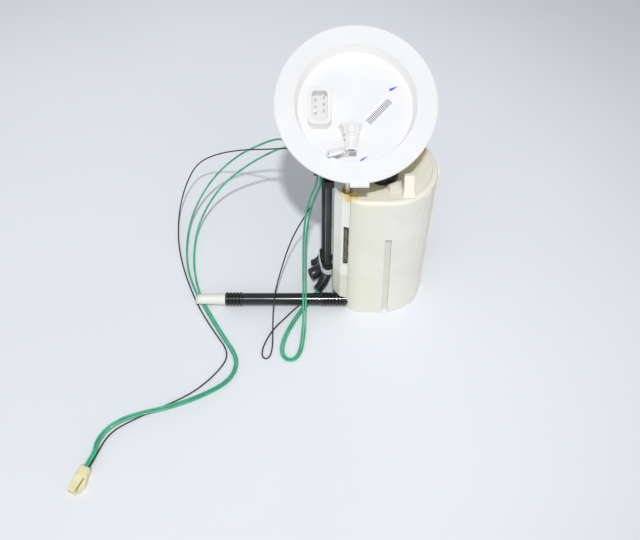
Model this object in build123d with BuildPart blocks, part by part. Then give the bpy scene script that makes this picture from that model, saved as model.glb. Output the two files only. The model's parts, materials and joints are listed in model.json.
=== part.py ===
"""In-tank fuel pump module: a drafted reservoir pot with the pump inside, a guide bracket
with two sprung rods, and a tilting top flange with the connector and the fuel outlet.

Millimetres, +Z up. The origin is the centre of the pot's base, which stands on z = 0.
"""
import os
from math import atan2, cos, degrees, pi, radians, sin, tan

from build123d import *

# ---------------------------------------------------------------- driving dimensions
FIT = 0.05                  # radial running clearance of a shaft in its bearing
GAP = 0.35                  # clearance between pieces that move past each other
SEAT = 0.1                  # clearance between pieces that lie side by side

# reservoir pot
POT_HEIGHT = 158.0
POT_BASE_RADIUS = 38.4
POT_TOP_RADIUS = 41.3
POT_WALL = 2.2
POT_FLOOR = 3.0
POT_CORNER_RADIUS = 20.0
POT_FLAT_X = -32.6          # flat side that carries the guide bracket
SHOULDER_RADIUS = 3.4       # rounding of the pot's top edge
DECK_THICKNESS = 3.0
DECK_SEAT_WIDTH = 2.0
LIP_WIDTH = 4.8             # width of the pot's top rim
SLOT_X = 2.9                # at the floor
SLOT_LEAN = 1.2
SLOT_WIDTH = 5.5
SLOT_HEIGHT = 110.0
SLOT_DEPTH = 4.0
# raised bands down the pot's side: angle, width, proud of the face
RIBS = ((-41.0, 9.0, 1.1), (0.0, 15.0, 1.8), (98.0, 9.0, 1.1))

# guide rods and the bracket they run in
ROD_X = -35.2
ROD_Y = 26.0                # the rods stand at +ROD_Y and -ROD_Y
ROD_RADIUS = 1.75
ROD_LOW = 62.0
ROD_ABOVE_POT = 23.0
ROD_HIGH = POT_HEIGHT + ROD_ABOVE_POT
TRAVEL = 16.0               # how far the rods push down against their springs
SLEEVE_WALL = 0.9
SPRING_WIRE = 0.9
SPRING_RADIUS = 2.75        # to the middle of the wire
SPRING_TURNS = 8
SPRING_SEAT = 25.0
COLLAR_HEIGHT = 4.0
BRACKET_LOW = 16.0
BRACKET_LEFT = -45.8
BRACKET_WALL = 1.8
BRACKET_TOP_BLOCK = 9.0     # depth of the solid top that guides the rods
BRACKET_FRONT_Y = 33.4      # where the front face meets the pot
BRACKET_CREASE_X, BRACKET_CREASE_Y = -39.5, 31.0
BRACKET_SIDE_Y = 22.7       # where the slanted face meets the left wall
POCKET_RADIUS = 4.8
POCKET_DEPTH = 5.5
WINDOW_LOW = 64.0
WINDOW_HIGH = 118.0
WINDOW_WIDTH = 5.0
WINDOW_DEPTH = 5.0
WINDOW_SHIFT = 0.6          # toward the pot from the middle of the front face

# pump
PUMP_X, PUMP_Y = -5.0, -2.0
CAN_RADIUS = 19.0
CAN_WALL = 0.9
CAN_LOW = 30.0
CAN_HIGH = 112.0
CAP_HIGH = 164.0            # top of the neck that stands through the deck
NECK_X, NECK_Y, NECK_RADIUS = -5.5, -8.5, 12.5
SHAFT_RADIUS = 1.5
ARMATURE_RADIUS = 12.6
ARMATURE_LOW, ARMATURE_HIGH = 54.0, 88.0
IMPELLER_RADIUS = 15.0
IMPELLER_HEIGHT = 3.6
IMPELLER_VANES = 20
MAGNET_THICKNESS = 4.0

# pressure regulator under the deck
REGULATOR_X, REGULATOR_Y = 23.5, 8.0
REGULATOR_RADIUS = 10.0
REGULATOR_CASE = 8.2

# transfer pipe on the left of the pot
PIPE_Y, PIPE_Z = -29.2, 8.6
PIPE_RADIUS = 5.8
PIPE_BORE = 4.0
PIPE_RIB_RADIUS = 6.5
PIPE_RIB_PITCH = 3.2
PIPE_END_X = -147.0
NOZZLE_LENGTH = 29.5
NOZZLE_TIP_RADIUS = 4.5

# level sender on the back of the pot
SENDER_X = 17.0
SENDER_Z = 100.0
SENDER_PAD_Y = 42.6
SENDER_DEPTH = 6.5
SENDER_RECESS = 3.0
ARM_RADIUS = 1.1
ARM_REACH = 62.0
FLOAT_LENGTH, FLOAT_WIDTH, FLOAT_HEIGHT = 30.0, 14.0, 18.0

# flange, drawn level about its own centre and then tilted on its hinge
FLANGE_X, FLANGE_Y = -29.6, 6.8
FLANGE_ABOVE_POT = 66.0
FLANGE_Z = POT_HEIGHT + FLANGE_ABOVE_POT
FLANGE_TILT = 28.1
FLANGE_RADIUS = 65.0
FLANGE_RIM = 4.2
RECESS_DEPTH = 12.5
FLANGE_FLOOR = 2.6
SKIRT_RADIUS = 51.0
RECESS_WALL = 2.7           # between the skirt and the recess
RECESS_DRAFT = 2.1          # how much narrower the recess is at its floor
SKIRT_DEPTH = 17.2
SKIRT_WALL = 2.4
TAB_X, TAB_WIDTH, TAB_PROUD = 2.6, 15.0, 3.0
SEAL_HEIGHT = 4.5
SEAL_WIDTH = 4.6
SEAL_GROOVE = 0.6           # step in the rim that keeps the seal in place
HINGE_DROP = 25.0           # hinge pin below the flange's top face
HINGE_X = -33.0
PIN_RADIUS = 2.0
EAR_THICKNESS = 3.2
EAR_RADIUS = 5.0
POST_WIDTH = 15.0

# connector and outlets on the flange
TOWER_X, TOWER_Y = -28.5, -2.5
TOWER_WIDTH, TOWER_LENGTH, TOWER_HEIGHT = 19.0, 31.0, 12.5
TOWER_WALL = 3.4
TOWER_FLOOR = 1.5
PIN_PITCH_X, PIN_PITCH_Y = 6.6, 5.6
OUTLET_X = -4.0
OUTLET_RISER_Y = -21.0
OUTLET_END_Y = -41.0
OUTLET_AXIS = 18.6          # height of the spigot's axis above the recess floor
OUTLET_RADIUS = 4.74        # 3/8 in. quick connector
OUTLET_BORE = 3.2
BEAD_FROM, BEAD_LENGTH, BEAD_PROUD = 11.6, 2.4, 1.0     # back from the open end
NIPPLE_RADIUS = 2.9
NIPPLE_BORE = 1.6
NIPPLE_START_X, NIPPLE_START_INSET = -8.6, 11.0         # inset from the edge of the recess
NIPPLE_END_X, NIPPLE_END_INSET = -22.0, 5.0
NIPPLE_AXIS = 9.5
NIPPLE_RISE = 30.0          # the nipple points up over the rim, degrees
NIPPLE_SEATED = 5.0         # how far its root sits in the block

# soft lines beside the bracket
FEED_X, FEED_Y, FEED_RADIUS = -50.3, 2.2, 3.1
BREATHER_X, BREATHER_Y, BREATHER_RADIUS = -54.6, 9.7, 1.9
RISER_X, RISER_Y, RISER_RADIUS = -50.8, -8.0, 2.3
LINE_LOW = 34.0             # where the upright lines meet the bent sleeves
BEAM_ABOVE_POT = 26.0       # top of the carrier
MANIFOLD_THICKNESS = 6.4
MANIFOLD_HIGH = POT_HEIGHT + BEAM_ABOVE_POT
MANIFOLD_LOW = MANIFOLD_HIGH - MANIFOLD_THICKNESS
CLIP_BELOW_POT = 6.0
CLIP_THICKNESS = 7.0
CLIP_HIGH = POT_HEIGHT - CLIP_BELOW_POT
CLIP_LOW = CLIP_HIGH - CLIP_THICKNESS
CLIP_LEFT = -63.0
MANIFOLD_LEFT = -58.8

# wires
GREEN_RADIUS = 0.95
BLACK_RADIUS = 0.65
PLUG_LENGTH, PLUG_WIDTH, PLUG_HEIGHT = 23.5, 14.4, 8.6
PLUG_X, PLUG_Y = -253.8, -200.0     # middle of the plug's rear face
PLUG_HEADING = 247.0                # direction the plug points, degrees from +X
WIRE_PITCH = 4.2

# ---------------------------------------------------------------- worked out
DRAFT = degrees(atan2(POT_TOP_RADIUS - POT_BASE_RADIUS, POT_HEIGHT))
DRAFT_RATIO = tan(radians(DRAFT))
SLEEVE_BORE = SPRING_RADIUS + SPRING_WIRE / 2 + GAP
SLEEVE_RADIUS = SLEEVE_BORE + SLEEVE_WALL
COLLAR_HIGH = POT_HEIGHT - BRACKET_TOP_BLOCK - SEAT
COLLAR_LOW = COLLAR_HIGH - COLLAR_HEIGHT
FLANGE = Plane(
    origin=(FLANGE_X, FLANGE_Y, FLANGE_Z),
    x_dir=(1, 0, 0),
    z_dir=(0, -sin(radians(FLANGE_TILT)), cos(radians(FLANGE_TILT))),
)
HINGE_Y = FLANGE_Y + HINGE_DROP * sin(radians(FLANGE_TILT))
HINGE_Z = FLANGE_Z - HINGE_DROP * cos(radians(FLANGE_TILT))


def pot_radius(height):
    """Outer radius of the round part of the pot at a height."""
    return POT_BASE_RADIUS + height * DRAFT_RATIO


def round_plan(radius, corner, height):
    """A circle whose front-left quarter is a square corner with a large fillet."""
    with BuildSketch(Plane.XY.offset(height)) as plan:
        Circle(radius)
        with Locations((-radius / 2, -radius / 2)):
            Rectangle(radius, radius)
        fillet(plan.vertices().group_by(Axis.X)[0].sort_by(Axis.Y)[0], corner)
    return plan.sketch


def pot_block(inset, low, high, shoulder=0):
    """The pot's drafted outline moved in by inset, between two heights."""
    with BuildPart() as block:
        extrude(
            round_plan(pot_radius(low) - inset, POT_CORNER_RADIUS - inset, low),
            amount=high - low,
            taper=-DRAFT,
        )
        if shoulder:
            fillet(block.faces().sort_by(Axis.Z)[-1].edges(), shoulder)
        split(bisect_by=Plane(origin=(POT_FLAT_X + inset, 0, 0), z_dir=(1, 0, 0)))
        groove_low = max(low, BRACKET_LOW - SEAT - inset)
        with BuildSketch(Plane.XY.offset(groove_low)):
            with Locations((ROD_X, -ROD_Y), (ROD_X, ROD_Y)):
                Circle(SLEEVE_RADIUS + SEAT + inset)
        extrude(amount=high - groove_low, mode=Mode.SUBTRACT)
    return block.part


def drafted_bar(angle, depth_from, depth_to, width, low, high):
    """A bar that follows the pot's sloping side, between two depths below its face."""
    direction = Vector(cos(radians(angle)), sin(radians(angle)), 0)
    middle = direction * (pot_radius(low) - (depth_from + depth_to) / 2)
    plane = Plane(origin=(middle.X, middle.Y, low), x_dir=direction, z_dir=(0, 0, 1))
    with BuildPart() as bar:
        with BuildSketch(plane):
            Rectangle(depth_to - depth_from, width)
        extrude(amount=(high - low), dir=(direction.X * DRAFT_RATIO, direction.Y * DRAFT_RATIO, 1))
    return bar.part


def side_band(angle, width, proud, high):
    """A raised band that follows the pot's side from the floor to a height."""
    shell = pot_block(-proud, 0, high)
    return shell & drafted_bar(angle, -3 * proud, POT_WALL, width, 0, high)


def tube_path(points):
    """Straight runs joined by the largest even arcs that the runs allow."""
    corners = [Vector(*point) for point in points]
    radii = []
    for before, here, after in zip(corners, corners[1:], corners[2:]):
        turn = (here - before).get_angle(after - here)
        shorter = min((here - before).length, (after - here).length)
        radii.append(0.45 * shorter / tan(radians(turn / 2)))
    return FilletPolyline(*corners, radius=radii, mode=Mode.PRIVATE), radii


def cord(label, points, radius):
    """A plain round cord along a hand-laid route."""
    path, radii = tube_path(points)
    with BuildPart() as tube:
        with BuildSketch(Plane(origin=points[0], z_dir=Vector(*points[1]) - Vector(*points[0]))):
            Circle(radius)
        sweep(path=path)
    tube.part.label = label
    swept = pi * radius**2 * path.length
    print(f"{label}: length {path.length:.1f}, smallest arc {min(radii):.1f}, "
          f"volume ratio {tube.part.volume / swept:.3f}")
    return tube.part


pieces = []


# ---------------------------------------------------------------- reservoir pot
LEDGE_Z = POT_HEIGHT - DECK_THICKNESS
LIP_LOW = LEDGE_Z - DECK_THICKNESS
cavity = pot_block(POT_WALL, POT_FLOOR, LIP_LOW)
ledge_opening = pot_block(LIP_WIDTH + DECK_SEAT_WIDTH, LIP_LOW, LEDGE_Z)
deck_opening = pot_block(LIP_WIDTH, LEDGE_Z, POT_HEIGHT)
slot = drafted_bar(-90, -SLOT_DEPTH, SLOT_DEPTH, SLOT_WIDTH, -1, SLOT_HEIGHT)
slot_wall = drafted_bar(
    -90, -SLOT_DEPTH, SLOT_DEPTH + POT_WALL, SLOT_WIDTH + 2 * POT_WALL, 0, SLOT_HEIGHT + POT_WALL
)
SLOT_PLACE = Location((SLOT_X, 0, 0), (0, -SLOT_LEAN, 0))
RIB_HIGH = POT_HEIGHT - SHOULDER_RADIUS
FOOT_VALVE_X, FOOT_VALVE_Y = 16.0, -10.0
FOOT_VALVE_HOLE = 2.0
FOOT_VALVE_PORTS = 6
FOOT_VALVE_PORT_RADIUS = 1.6
FOOT_VALVE_PORT_CIRCLE = 6.0
PIPE_HOLE = PIPE_BORE + SEAT
PIPE_FLOOR_X = POT_FLAT_X + POT_WALL
PAD_WIDTH, PAD_LOW, PAD_HIGH = 30.0, SENDER_Z - 28, SENDER_Z + 26

with BuildPart() as reservoir_pot:
    add(pot_block(0, 0, POT_HEIGHT, SHOULDER_RADIUS))
    for rib_angle, rib_width, rib_proud in RIBS:
        add(side_band(rib_angle, rib_width, rib_proud, RIB_HIGH))
    with BuildSketch(Plane.XY.offset(PAD_LOW)):
        with Locations((SENDER_X, SENDER_PAD_Y / 2)):
            Rectangle(PAD_WIDTH, SENDER_PAD_Y)
    extrude(amount=PAD_HIGH - PAD_LOW)
    add(cavity, mode=Mode.SUBTRACT)
    add(slot_wall.moved(SLOT_PLACE) & cavity)
    add(ledge_opening, mode=Mode.SUBTRACT)
    add(deck_opening, mode=Mode.SUBTRACT)
    add(slot.moved(SLOT_PLACE), mode=Mode.SUBTRACT)
    with Locations((FOOT_VALVE_X, FOOT_VALVE_Y, POT_FLOOR)):
        Hole(FOOT_VALVE_HOLE, depth=POT_FLOOR)
        with PolarLocations(FOOT_VALVE_PORT_CIRCLE, FOOT_VALVE_PORTS):
            Hole(FOOT_VALVE_PORT_RADIUS, depth=POT_FLOOR)
    with BuildSketch(Plane.YZ.offset(POT_FLAT_X - POT_WALL)):
        with Locations((PIPE_Y, PIPE_Z)):
            Circle(PIPE_HOLE)
    extrude(amount=5 * POT_WALL, mode=Mode.SUBTRACT)
reservoir_pot.part.label = "reservoir_pot"
pieces.append(reservoir_pot.part)


# ---------------------------------------------------------------- deck on top of the pot
CAP_RADIUS = CAN_RADIUS + 0.4
POST_X, POST_FRONT_Y = 15.0, -35.6
POST_HEIGHT, POST_BASE, POST_TOP = 13.0, 11.0, 8.4
POST_LEAN, POST_CREST, POST_DEPTH = 13.0, 3.0, 20.0
LUG_X, LUG_Y, LUG_HEIGHT = 3.0, -24.5, 5.5
COLLAR_WALL = 1.0
SEATS = ((PUMP_X, PUMP_Y, CAP_RADIUS), (REGULATOR_X, REGULATOR_Y, REGULATOR_CASE))
deck_blank = pot_block(LIP_WIDTH + SEAT, LEDGE_Z, POT_HEIGHT)

with BuildPart() as pot_deck:
    add(deck_blank)
    with BuildSketch(Plane.XY.offset(LEDGE_Z)):
        with Locations((NECK_X, NECK_Y)):
            Circle(NECK_RADIUS + SEAT)
    extrude(amount=DECK_THICKNESS, mode=Mode.SUBTRACT)
    for seat_x, seat_y, seat_radius in SEATS:
        with BuildSketch(Plane.XY.offset(LEDGE_Z - DECK_THICKNESS)):
            with Locations((seat_x, seat_y)):
                Circle(seat_radius + SEAT + COLLAR_WALL)
                Circle(seat_radius + SEAT, mode=Mode.SUBTRACT)
        extrude(amount=DECK_THICKNESS)
pot_deck.part.label = "pot_deck"
pieces.append(pot_deck.part)

with BuildPart() as deck_post:
    with BuildSketch(Plane.XZ.offset(-POST_FRONT_Y)):
        with BuildLine():
            Polyline(
                (POST_X - POST_BASE / 2, POT_HEIGHT),
                (POST_X + POST_BASE / 2, POT_HEIGHT),
                (POST_X + POST_TOP / 2, POT_HEIGHT + POST_HEIGHT * 0.4),
                (POST_X + POST_TOP / 2, POT_HEIGHT + POST_HEIGHT),
                (POST_X - POST_TOP / 2, POT_HEIGHT + POST_HEIGHT),
                (POST_X - POST_TOP / 2, POT_HEIGHT + POST_HEIGHT * 0.45),
                close=True,
            )
        make_face()
    extrude(amount=-POST_DEPTH)
    with BuildSketch(Plane.YZ.offset(POST_X - POST_BASE / 2)):
        with BuildLine():
            Polyline(
                (POST_FRONT_Y, POT_HEIGHT),
                (POST_FRONT_Y + POST_DEPTH, POT_HEIGHT),
                (POST_FRONT_Y + POST_LEAN + POST_CREST, POT_HEIGHT + POST_HEIGHT),
                (POST_FRONT_Y + POST_LEAN, POT_HEIGHT + POST_HEIGHT),
                close=True,
            )
        make_face()
    extrude(amount=POST_BASE, mode=Mode.INTERSECT)
deck_post.part.label = "deck_post"
pieces.append(deck_post.part)

with BuildPart() as deck_lug:
    with BuildSketch(Plane.XY.offset(POT_HEIGHT)):
        with Locations(Location((LUG_X, LUG_Y, 0), (0, 0, 1), 24)):
            Rectangle(11, 5.6)
    extrude(amount=LUG_HEIGHT, taper=9)
deck_lug.part.label = "deck_lug"
pieces.append(deck_lug.part)

# ---------------------------------------------------------------- guide bracket
BRACKET_RIGHT = POT_FLAT_X - SEAT
TOP_LOW = POT_HEIGHT - BRACKET_TOP_BLOCK


def bracket_plan(inset, height):
    """Plan of the bracket: a left wall between two slanted faces."""
    with BuildSketch(Plane.XY.offset(height)) as plan:
        with BuildLine():
            Polyline(
                (BRACKET_RIGHT, -BRACKET_FRONT_Y),
                (BRACKET_CREASE_X, -BRACKET_CREASE_Y),
                (BRACKET_LEFT, -BRACKET_SIDE_Y),
                (BRACKET_LEFT, BRACKET_SIDE_Y),
                (BRACKET_CREASE_X, BRACKET_CREASE_Y),
                (BRACKET_RIGHT, BRACKET_FRONT_Y),
                close=True,
            )
        make_face()
        if inset:
            offset(amount=-inset, kind=Kind.INTERSECTION)
    return plan.sketch


FACE_RUN = Vector(BRACKET_RIGHT - BRACKET_CREASE_X, BRACKET_CREASE_Y - BRACKET_FRONT_Y, 0)
WINDOW_PLANE = Plane(
    origin=(BRACKET_CREASE_X, -BRACKET_CREASE_Y, WINDOW_LOW),
    x_dir=FACE_RUN,
    z_dir=(0, 0, 1),
)

with BuildPart() as guide_bracket:
    extrude(bracket_plan(0, BRACKET_LOW), amount=POT_HEIGHT - BRACKET_LOW)
    extrude(bracket_plan(BRACKET_WALL, BRACKET_LOW), amount=TOP_LOW - BRACKET_LOW, mode=Mode.SUBTRACT)
    with BuildSketch(Plane.XY.offset(SPRING_SEAT - BRACKET_WALL)):
        with Locations((ROD_X, -ROD_Y), (ROD_X, ROD_Y)):
            Circle(SLEEVE_RADIUS)
    extrude(amount=POT_HEIGHT - POCKET_DEPTH - SPRING_SEAT + BRACKET_WALL)
    for web_y in (-SLEEVE_RADIUS, SLEEVE_RADIUS):
        with BuildSketch(Plane.XY.offset(BRACKET_LOW)):
            with Locations(((BRACKET_LEFT + BRACKET_RIGHT) / 2, web_y)):
                Rectangle(BRACKET_RIGHT - BRACKET_LEFT, BRACKET_WALL)
        extrude(amount=TOP_LOW - BRACKET_LOW)
    with Locations((ROD_X, -ROD_Y, POT_HEIGHT), (ROD_X, ROD_Y, POT_HEIGHT)):
        CounterBoreHole(ROD_RADIUS + FIT, POCKET_RADIUS, POCKET_DEPTH, depth=BRACKET_TOP_BLOCK + SEAT)
    with BuildSketch(Plane.XY.offset(SPRING_SEAT)):
        with Locations((ROD_X, -ROD_Y), (ROD_X, ROD_Y)):
            Circle(SLEEVE_BORE)
    extrude(amount=TOP_LOW - SPRING_SEAT, mode=Mode.SUBTRACT)
    with BuildSketch(WINDOW_PLANE):
        with Locations((FACE_RUN.length / 2 + WINDOW_SHIFT, 0)):
            Rectangle(WINDOW_WIDTH, 2 * WINDOW_DEPTH)
    extrude(amount=WINDOW_HIGH - WINDOW_LOW, mode=Mode.SUBTRACT)
guide_bracket.part.label = "guide_bracket"
pieces.append(guide_bracket.part)

# ---------------------------------------------------------------- fuel pump
CAP_DEPTH = 10.0
CAP_SPIGOT = CAN_RADIUS - CAN_WALL
BEARING = SHAFT_RADIUS + FIT
CHAMBER_LOW = CAN_LOW + 3.0
CHAMBER_HIGH = CHAMBER_LOW + IMPELLER_HEIGHT + 2 * GAP
SHAFT_LOW, SHAFT_HIGH = CAN_LOW + 1.5, CAN_HIGH - 1.5
PUMP = Pos(PUMP_X, PUMP_Y, 0)
PUMP_AXIS = Axis((PUMP_X, PUMP_Y, 0), (0, 0, 1))
PUMP_PROFILE = Plane(origin=(PUMP_X, PUMP_Y, 0), x_dir=(1, 0, 0), z_dir=(0, -1, 0))
INLET_LOW = 20.0
INLET_RADIUS = 5.5
CASING_HIGH = CHAMBER_HIGH + 4.0
OUTLET_LOW = CAN_HIGH - CAP_DEPTH
BARB_RADIUS, BARB_BORE, BARB_PROUD = 3.6, 2.0, 4.0
NECK_WALL, NECK_DEPTH = 2.0, 5.0


def turned(label, *rings):
    """A piece turned about the pump's axis from closed (radius, height) outlines."""
    with BuildPart() as piece:
        with BuildSketch(PUMP_PROFILE):
            for ring in rings:
                with BuildLine():
                    Polyline(*ring, close=True)
                make_face()
        revolve(axis=PUMP_AXIS)
    piece.part.label = label
    return piece.part


pieces.append(turned("pump_can", [
    (CAN_RADIUS, CAN_LOW), (CAN_RADIUS, CAN_HIGH), (CAP_SPIGOT - 1, CAN_HIGH),
    (CAP_SPIGOT - 1, CAN_HIGH - CAN_WALL), (CAP_SPIGOT, CAN_HIGH - CAN_WALL),
    (CAP_SPIGOT, CAN_LOW + CAN_WALL), (CAP_SPIGOT - 1, CAN_LOW + CAN_WALL),
    (CAP_SPIGOT - 1, CAN_LOW),
]))
pump_inlet_cover = turned("pump_inlet_cover", [
    (SHAFT_RADIUS + 2, INLET_LOW), (INLET_RADIUS, INLET_LOW), (INLET_RADIUS, CAN_LOW - 2),
    (CAP_SPIGOT - 1 - SEAT, CAN_LOW - 2), (CAP_SPIGOT - 1 - SEAT, CAN_LOW + CAN_WALL + SEAT),
    (CAP_SPIGOT - SEAT, CAN_LOW + CAN_WALL + SEAT), (CAP_SPIGOT - SEAT, CHAMBER_HIGH),
    (IMPELLER_RADIUS + GAP, CHAMBER_HIGH), (IMPELLER_RADIUS + GAP, CHAMBER_LOW),
    (SHAFT_RADIUS + 2, CHAMBER_LOW),
])
pieces.append(pump_inlet_cover)
pieces.append(turned("pump_bearing_plate", [
    (BEARING, CHAMBER_HIGH), (CAP_SPIGOT - SEAT, CHAMBER_HIGH), (CAP_SPIGOT - SEAT, CASING_HIGH),
    (BEARING + 3, CASING_HIGH), (BEARING + 3, CASING_HIGH + 3), (BEARING, CASING_HIGH + 3),
]))
outlet_cap = turned("pump_outlet_cap", [
    (BEARING, OUTLET_LOW), (BEARING + 4, OUTLET_LOW), (BEARING + 4, OUTLET_LOW + 5),
    (CAP_SPIGOT - SEAT, OUTLET_LOW + 5), (CAP_SPIGOT - SEAT, CAN_HIGH - CAN_WALL - SEAT),
    (CAP_SPIGOT - 1 - SEAT, CAN_HIGH - CAN_WALL - SEAT), (CAP_SPIGOT - 1 - SEAT, CAN_HIGH + SEAT),
    (CAP_RADIUS, CAN_HIGH + SEAT), (CAP_RADIUS, LEDGE_Z - SEAT), (BARB_BORE, LEDGE_Z - SEAT),
    (BARB_BORE, SHAFT_HIGH + 3), (BEARING, SHAFT_HIGH + 3),
])
with BuildPart() as pump_outlet_cap:
    add(outlet_cap)
    with BuildSketch(Plane.XY.offset(LEDGE_Z - SEAT)):
        with Locations((NECK_X, NECK_Y)):
            Circle(NECK_RADIUS)
    extrude(amount=CAP_HIGH - LEDGE_Z + SEAT)
    chamfer(pump_outlet_cap.edges().group_by(Axis.Z)[-1], 1.2)
    with BuildSketch(Plane.XY.offset(CAP_HIGH)):
        with Locations((NECK_X, NECK_Y)):
            Circle(NECK_RADIUS - NECK_WALL)
        with Locations((PUMP_X, PUMP_Y)):
            Circle(BARB_RADIUS, mode=Mode.SUBTRACT)
    extrude(amount=-NECK_DEPTH, mode=Mode.SUBTRACT)
    with BuildSketch(Plane.XY.offset(LEDGE_Z - SEAT)):
        with Locations((PUMP_X, PUMP_Y)):
            Circle(BARB_RADIUS)
            Circle(BARB_BORE, mode=Mode.SUBTRACT)
    extrude(amount=CAP_HIGH + BARB_PROUD - LEDGE_Z + SEAT)
    with BuildSketch(Plane.XY.offset(LEDGE_Z - SEAT)):
        with Locations((PUMP_X, PUMP_Y)):
            Circle(BARB_BORE)
    extrude(amount=CAP_HIGH - LEDGE_Z + SEAT, mode=Mode.SUBTRACT)
pump_outlet_cap.part.label = "pump_outlet_cap"
pieces.append(pump_outlet_cap.part)

MAGNET_OUTER = CAP_SPIGOT - SEAT
MAGNET_INNER = MAGNET_OUTER - MAGNET_THICKNESS
with BuildPart() as motor_magnets:
    with BuildSketch(Plane.XY.offset(ARMATURE_LOW - 2)):
        with Locations((PUMP_X, PUMP_Y)):
            Circle(MAGNET_OUTER)
            Circle(MAGNET_INNER, mode=Mode.SUBTRACT)
            Rectangle(2 * MAGNET_OUTER, MAGNET_OUTER * 0.7, mode=Mode.SUBTRACT)
    extrude(amount=ARMATURE_HIGH - ARMATURE_LOW + 4)
motor_magnets.part.label = "motor_magnets"
pieces.append(motor_magnets.part)

ARMATURE_SLOTS = 8
COMMUTATOR_RADIUS = 6.0
with BuildPart() as pump_armature:
    with BuildSketch(Plane.XY.offset(SHAFT_LOW)):
        with Locations((PUMP_X, PUMP_Y)):
            Circle(SHAFT_RADIUS)
    extrude(amount=SHAFT_HIGH - SHAFT_LOW)
    with BuildSketch(Plane.XY.offset(ARMATURE_LOW)):
        with Locations((PUMP_X, PUMP_Y)):
            Circle(ARMATURE_RADIUS)
            with PolarLocations(ARMATURE_RADIUS, ARMATURE_SLOTS):
                Rectangle(6, 1.6, mode=Mode.SUBTRACT)
    extrude(amount=ARMATURE_HIGH - ARMATURE_LOW)
    with BuildSketch(Plane.XY.offset(ARMATURE_HIGH)):
        with Locations((PUMP_X, PUMP_Y)):
            Circle(COMMUTATOR_RADIUS)
    extrude(amount=OUTLET_LOW - 2 - ARMATURE_HIGH)
pump_armature.part.label = "pump_armature"
pieces.append(pump_armature.part)

VANE_DEPTH = 2.6
with BuildPart() as pump_impeller:
    with BuildSketch(Plane.XY.offset(CHAMBER_LOW + GAP)):
        with Locations((PUMP_X, PUMP_Y)):
            Circle(IMPELLER_RADIUS)
            Circle(SHAFT_RADIUS, mode=Mode.SUBTRACT)
            with PolarLocations(IMPELLER_RADIUS, IMPELLER_VANES):
                Rectangle(2 * VANE_DEPTH, 2.2, mode=Mode.SUBTRACT)
    extrude(amount=IMPELLER_HEIGHT)
pump_impeller.part.label = "pump_impeller"
pieces.append(pump_impeller.part)

ISOLATOR_LOW, ISOLATOR_HEIGHT, ISOLATOR_WALL = 60.0, 14.0, 2.6
with BuildPart() as pump_isolator:
    with BuildSketch(Plane.XY.offset(ISOLATOR_LOW)):
        with Locations((PUMP_X, PUMP_Y)):
            Circle(CAN_RADIUS + ISOLATOR_WALL)
            with PolarLocations(CAN_RADIUS + ISOLATOR_WALL, 9):
                Circle(1.3)
            Circle(CAN_RADIUS, mode=Mode.SUBTRACT)
    extrude(amount=ISOLATOR_HEIGHT)
pump_isolator.part.label = "pump_isolator"
pieces.append(pump_isolator.part)

STRAINER_LENGTH, STRAINER_WIDTH, STRAINER_HEIGHT = 44.0, 30.0, 9.0
with BuildPart() as inlet_strainer:
    with BuildSketch(Plane.XY.offset(INLET_LOW - STRAINER_HEIGHT - 1)):
        with Locations((PUMP_X + 3, PUMP_Y + 6)):
            RectangleRounded(STRAINER_LENGTH, STRAINER_WIDTH, 9)
    extrude(amount=STRAINER_HEIGHT)
    fillet(inlet_strainer.edges().group_by(Axis.Z)[-1], 3)
    fillet(inlet_strainer.edges().group_by(Axis.Z)[0], 3)
    with BuildSketch(Plane.XY.offset(INLET_LOW - 2)):
        with Locations((PUMP_X, PUMP_Y)):
            Circle(INLET_RADIUS + 1.8)
            Circle(INLET_RADIUS, mode=Mode.SUBTRACT)
    extrude(amount=6)
inlet_strainer.part.label = "inlet_strainer"
pieces.append(inlet_strainer.part)

# ---------------------------------------------------------------- regulator, valve and jet pump
RETURN_RADIUS, RETURN_LENGTH = 3.2, 8.0
CUP_RADIUS, CUP_DEPTH = 7.5, 12.0
CASE_DEPTH, CRIMP_DEPTH = 11.0, 3.0
CRIMP_HIGH = LEDGE_Z - CASE_DEPTH
CRIMP_LOW = CRIMP_HIGH - CRIMP_DEPTH
CUP_LOW = CRIMP_LOW - CUP_DEPTH
RETURN_LOW = CUP_LOW - RETURN_LENGTH
with BuildPart() as pressure_regulator:
    with BuildSketch(Plane(origin=(REGULATOR_X, REGULATOR_Y, 0), x_dir=(1, 0, 0), z_dir=(0, -1, 0))):
        with BuildLine():
            Polyline(
                (0, RETURN_LOW), (RETURN_RADIUS, RETURN_LOW), (RETURN_RADIUS, CUP_LOW), (CUP_RADIUS, CUP_LOW),
                (CUP_RADIUS, CRIMP_LOW), (REGULATOR_RADIUS, CRIMP_LOW), (REGULATOR_RADIUS, CRIMP_HIGH),
                (REGULATOR_CASE, CRIMP_HIGH), (REGULATOR_CASE, LEDGE_Z - SEAT), (0, LEDGE_Z - SEAT),
                close=True,
            )
        make_face()
    revolve(axis=Axis((REGULATOR_X, REGULATOR_Y, 0), (0, 0, 1)))
pressure_regulator.part.label = "pressure_regulator"
pieces.append(pressure_regulator.part)

with BuildPart() as foot_valve:
    with BuildSketch(Plane(origin=(FOOT_VALVE_X, FOOT_VALVE_Y, 0), x_dir=(1, 0, 0), z_dir=(0, -1, 0))):
        with BuildLine():
            Polyline(
                (0, 0.4), (FOOT_VALVE_HOLE - FIT, 0.4), (FOOT_VALVE_HOLE - FIT, POT_FLOOR),
                (9, POT_FLOOR), (8.6, POT_FLOOR + 0.8), (FOOT_VALVE_HOLE + 1, POT_FLOOR + 2),
                (FOOT_VALVE_HOLE, POT_FLOOR + 4), (0, POT_FLOOR + 4),
                close=True,
            )
        make_face()
    revolve(axis=Axis((FOOT_VALVE_X, FOOT_VALVE_Y, 0), (0, 0, 1)))
foot_valve.part.label = "foot_valve"
pieces.append(foot_valve.part)

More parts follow.
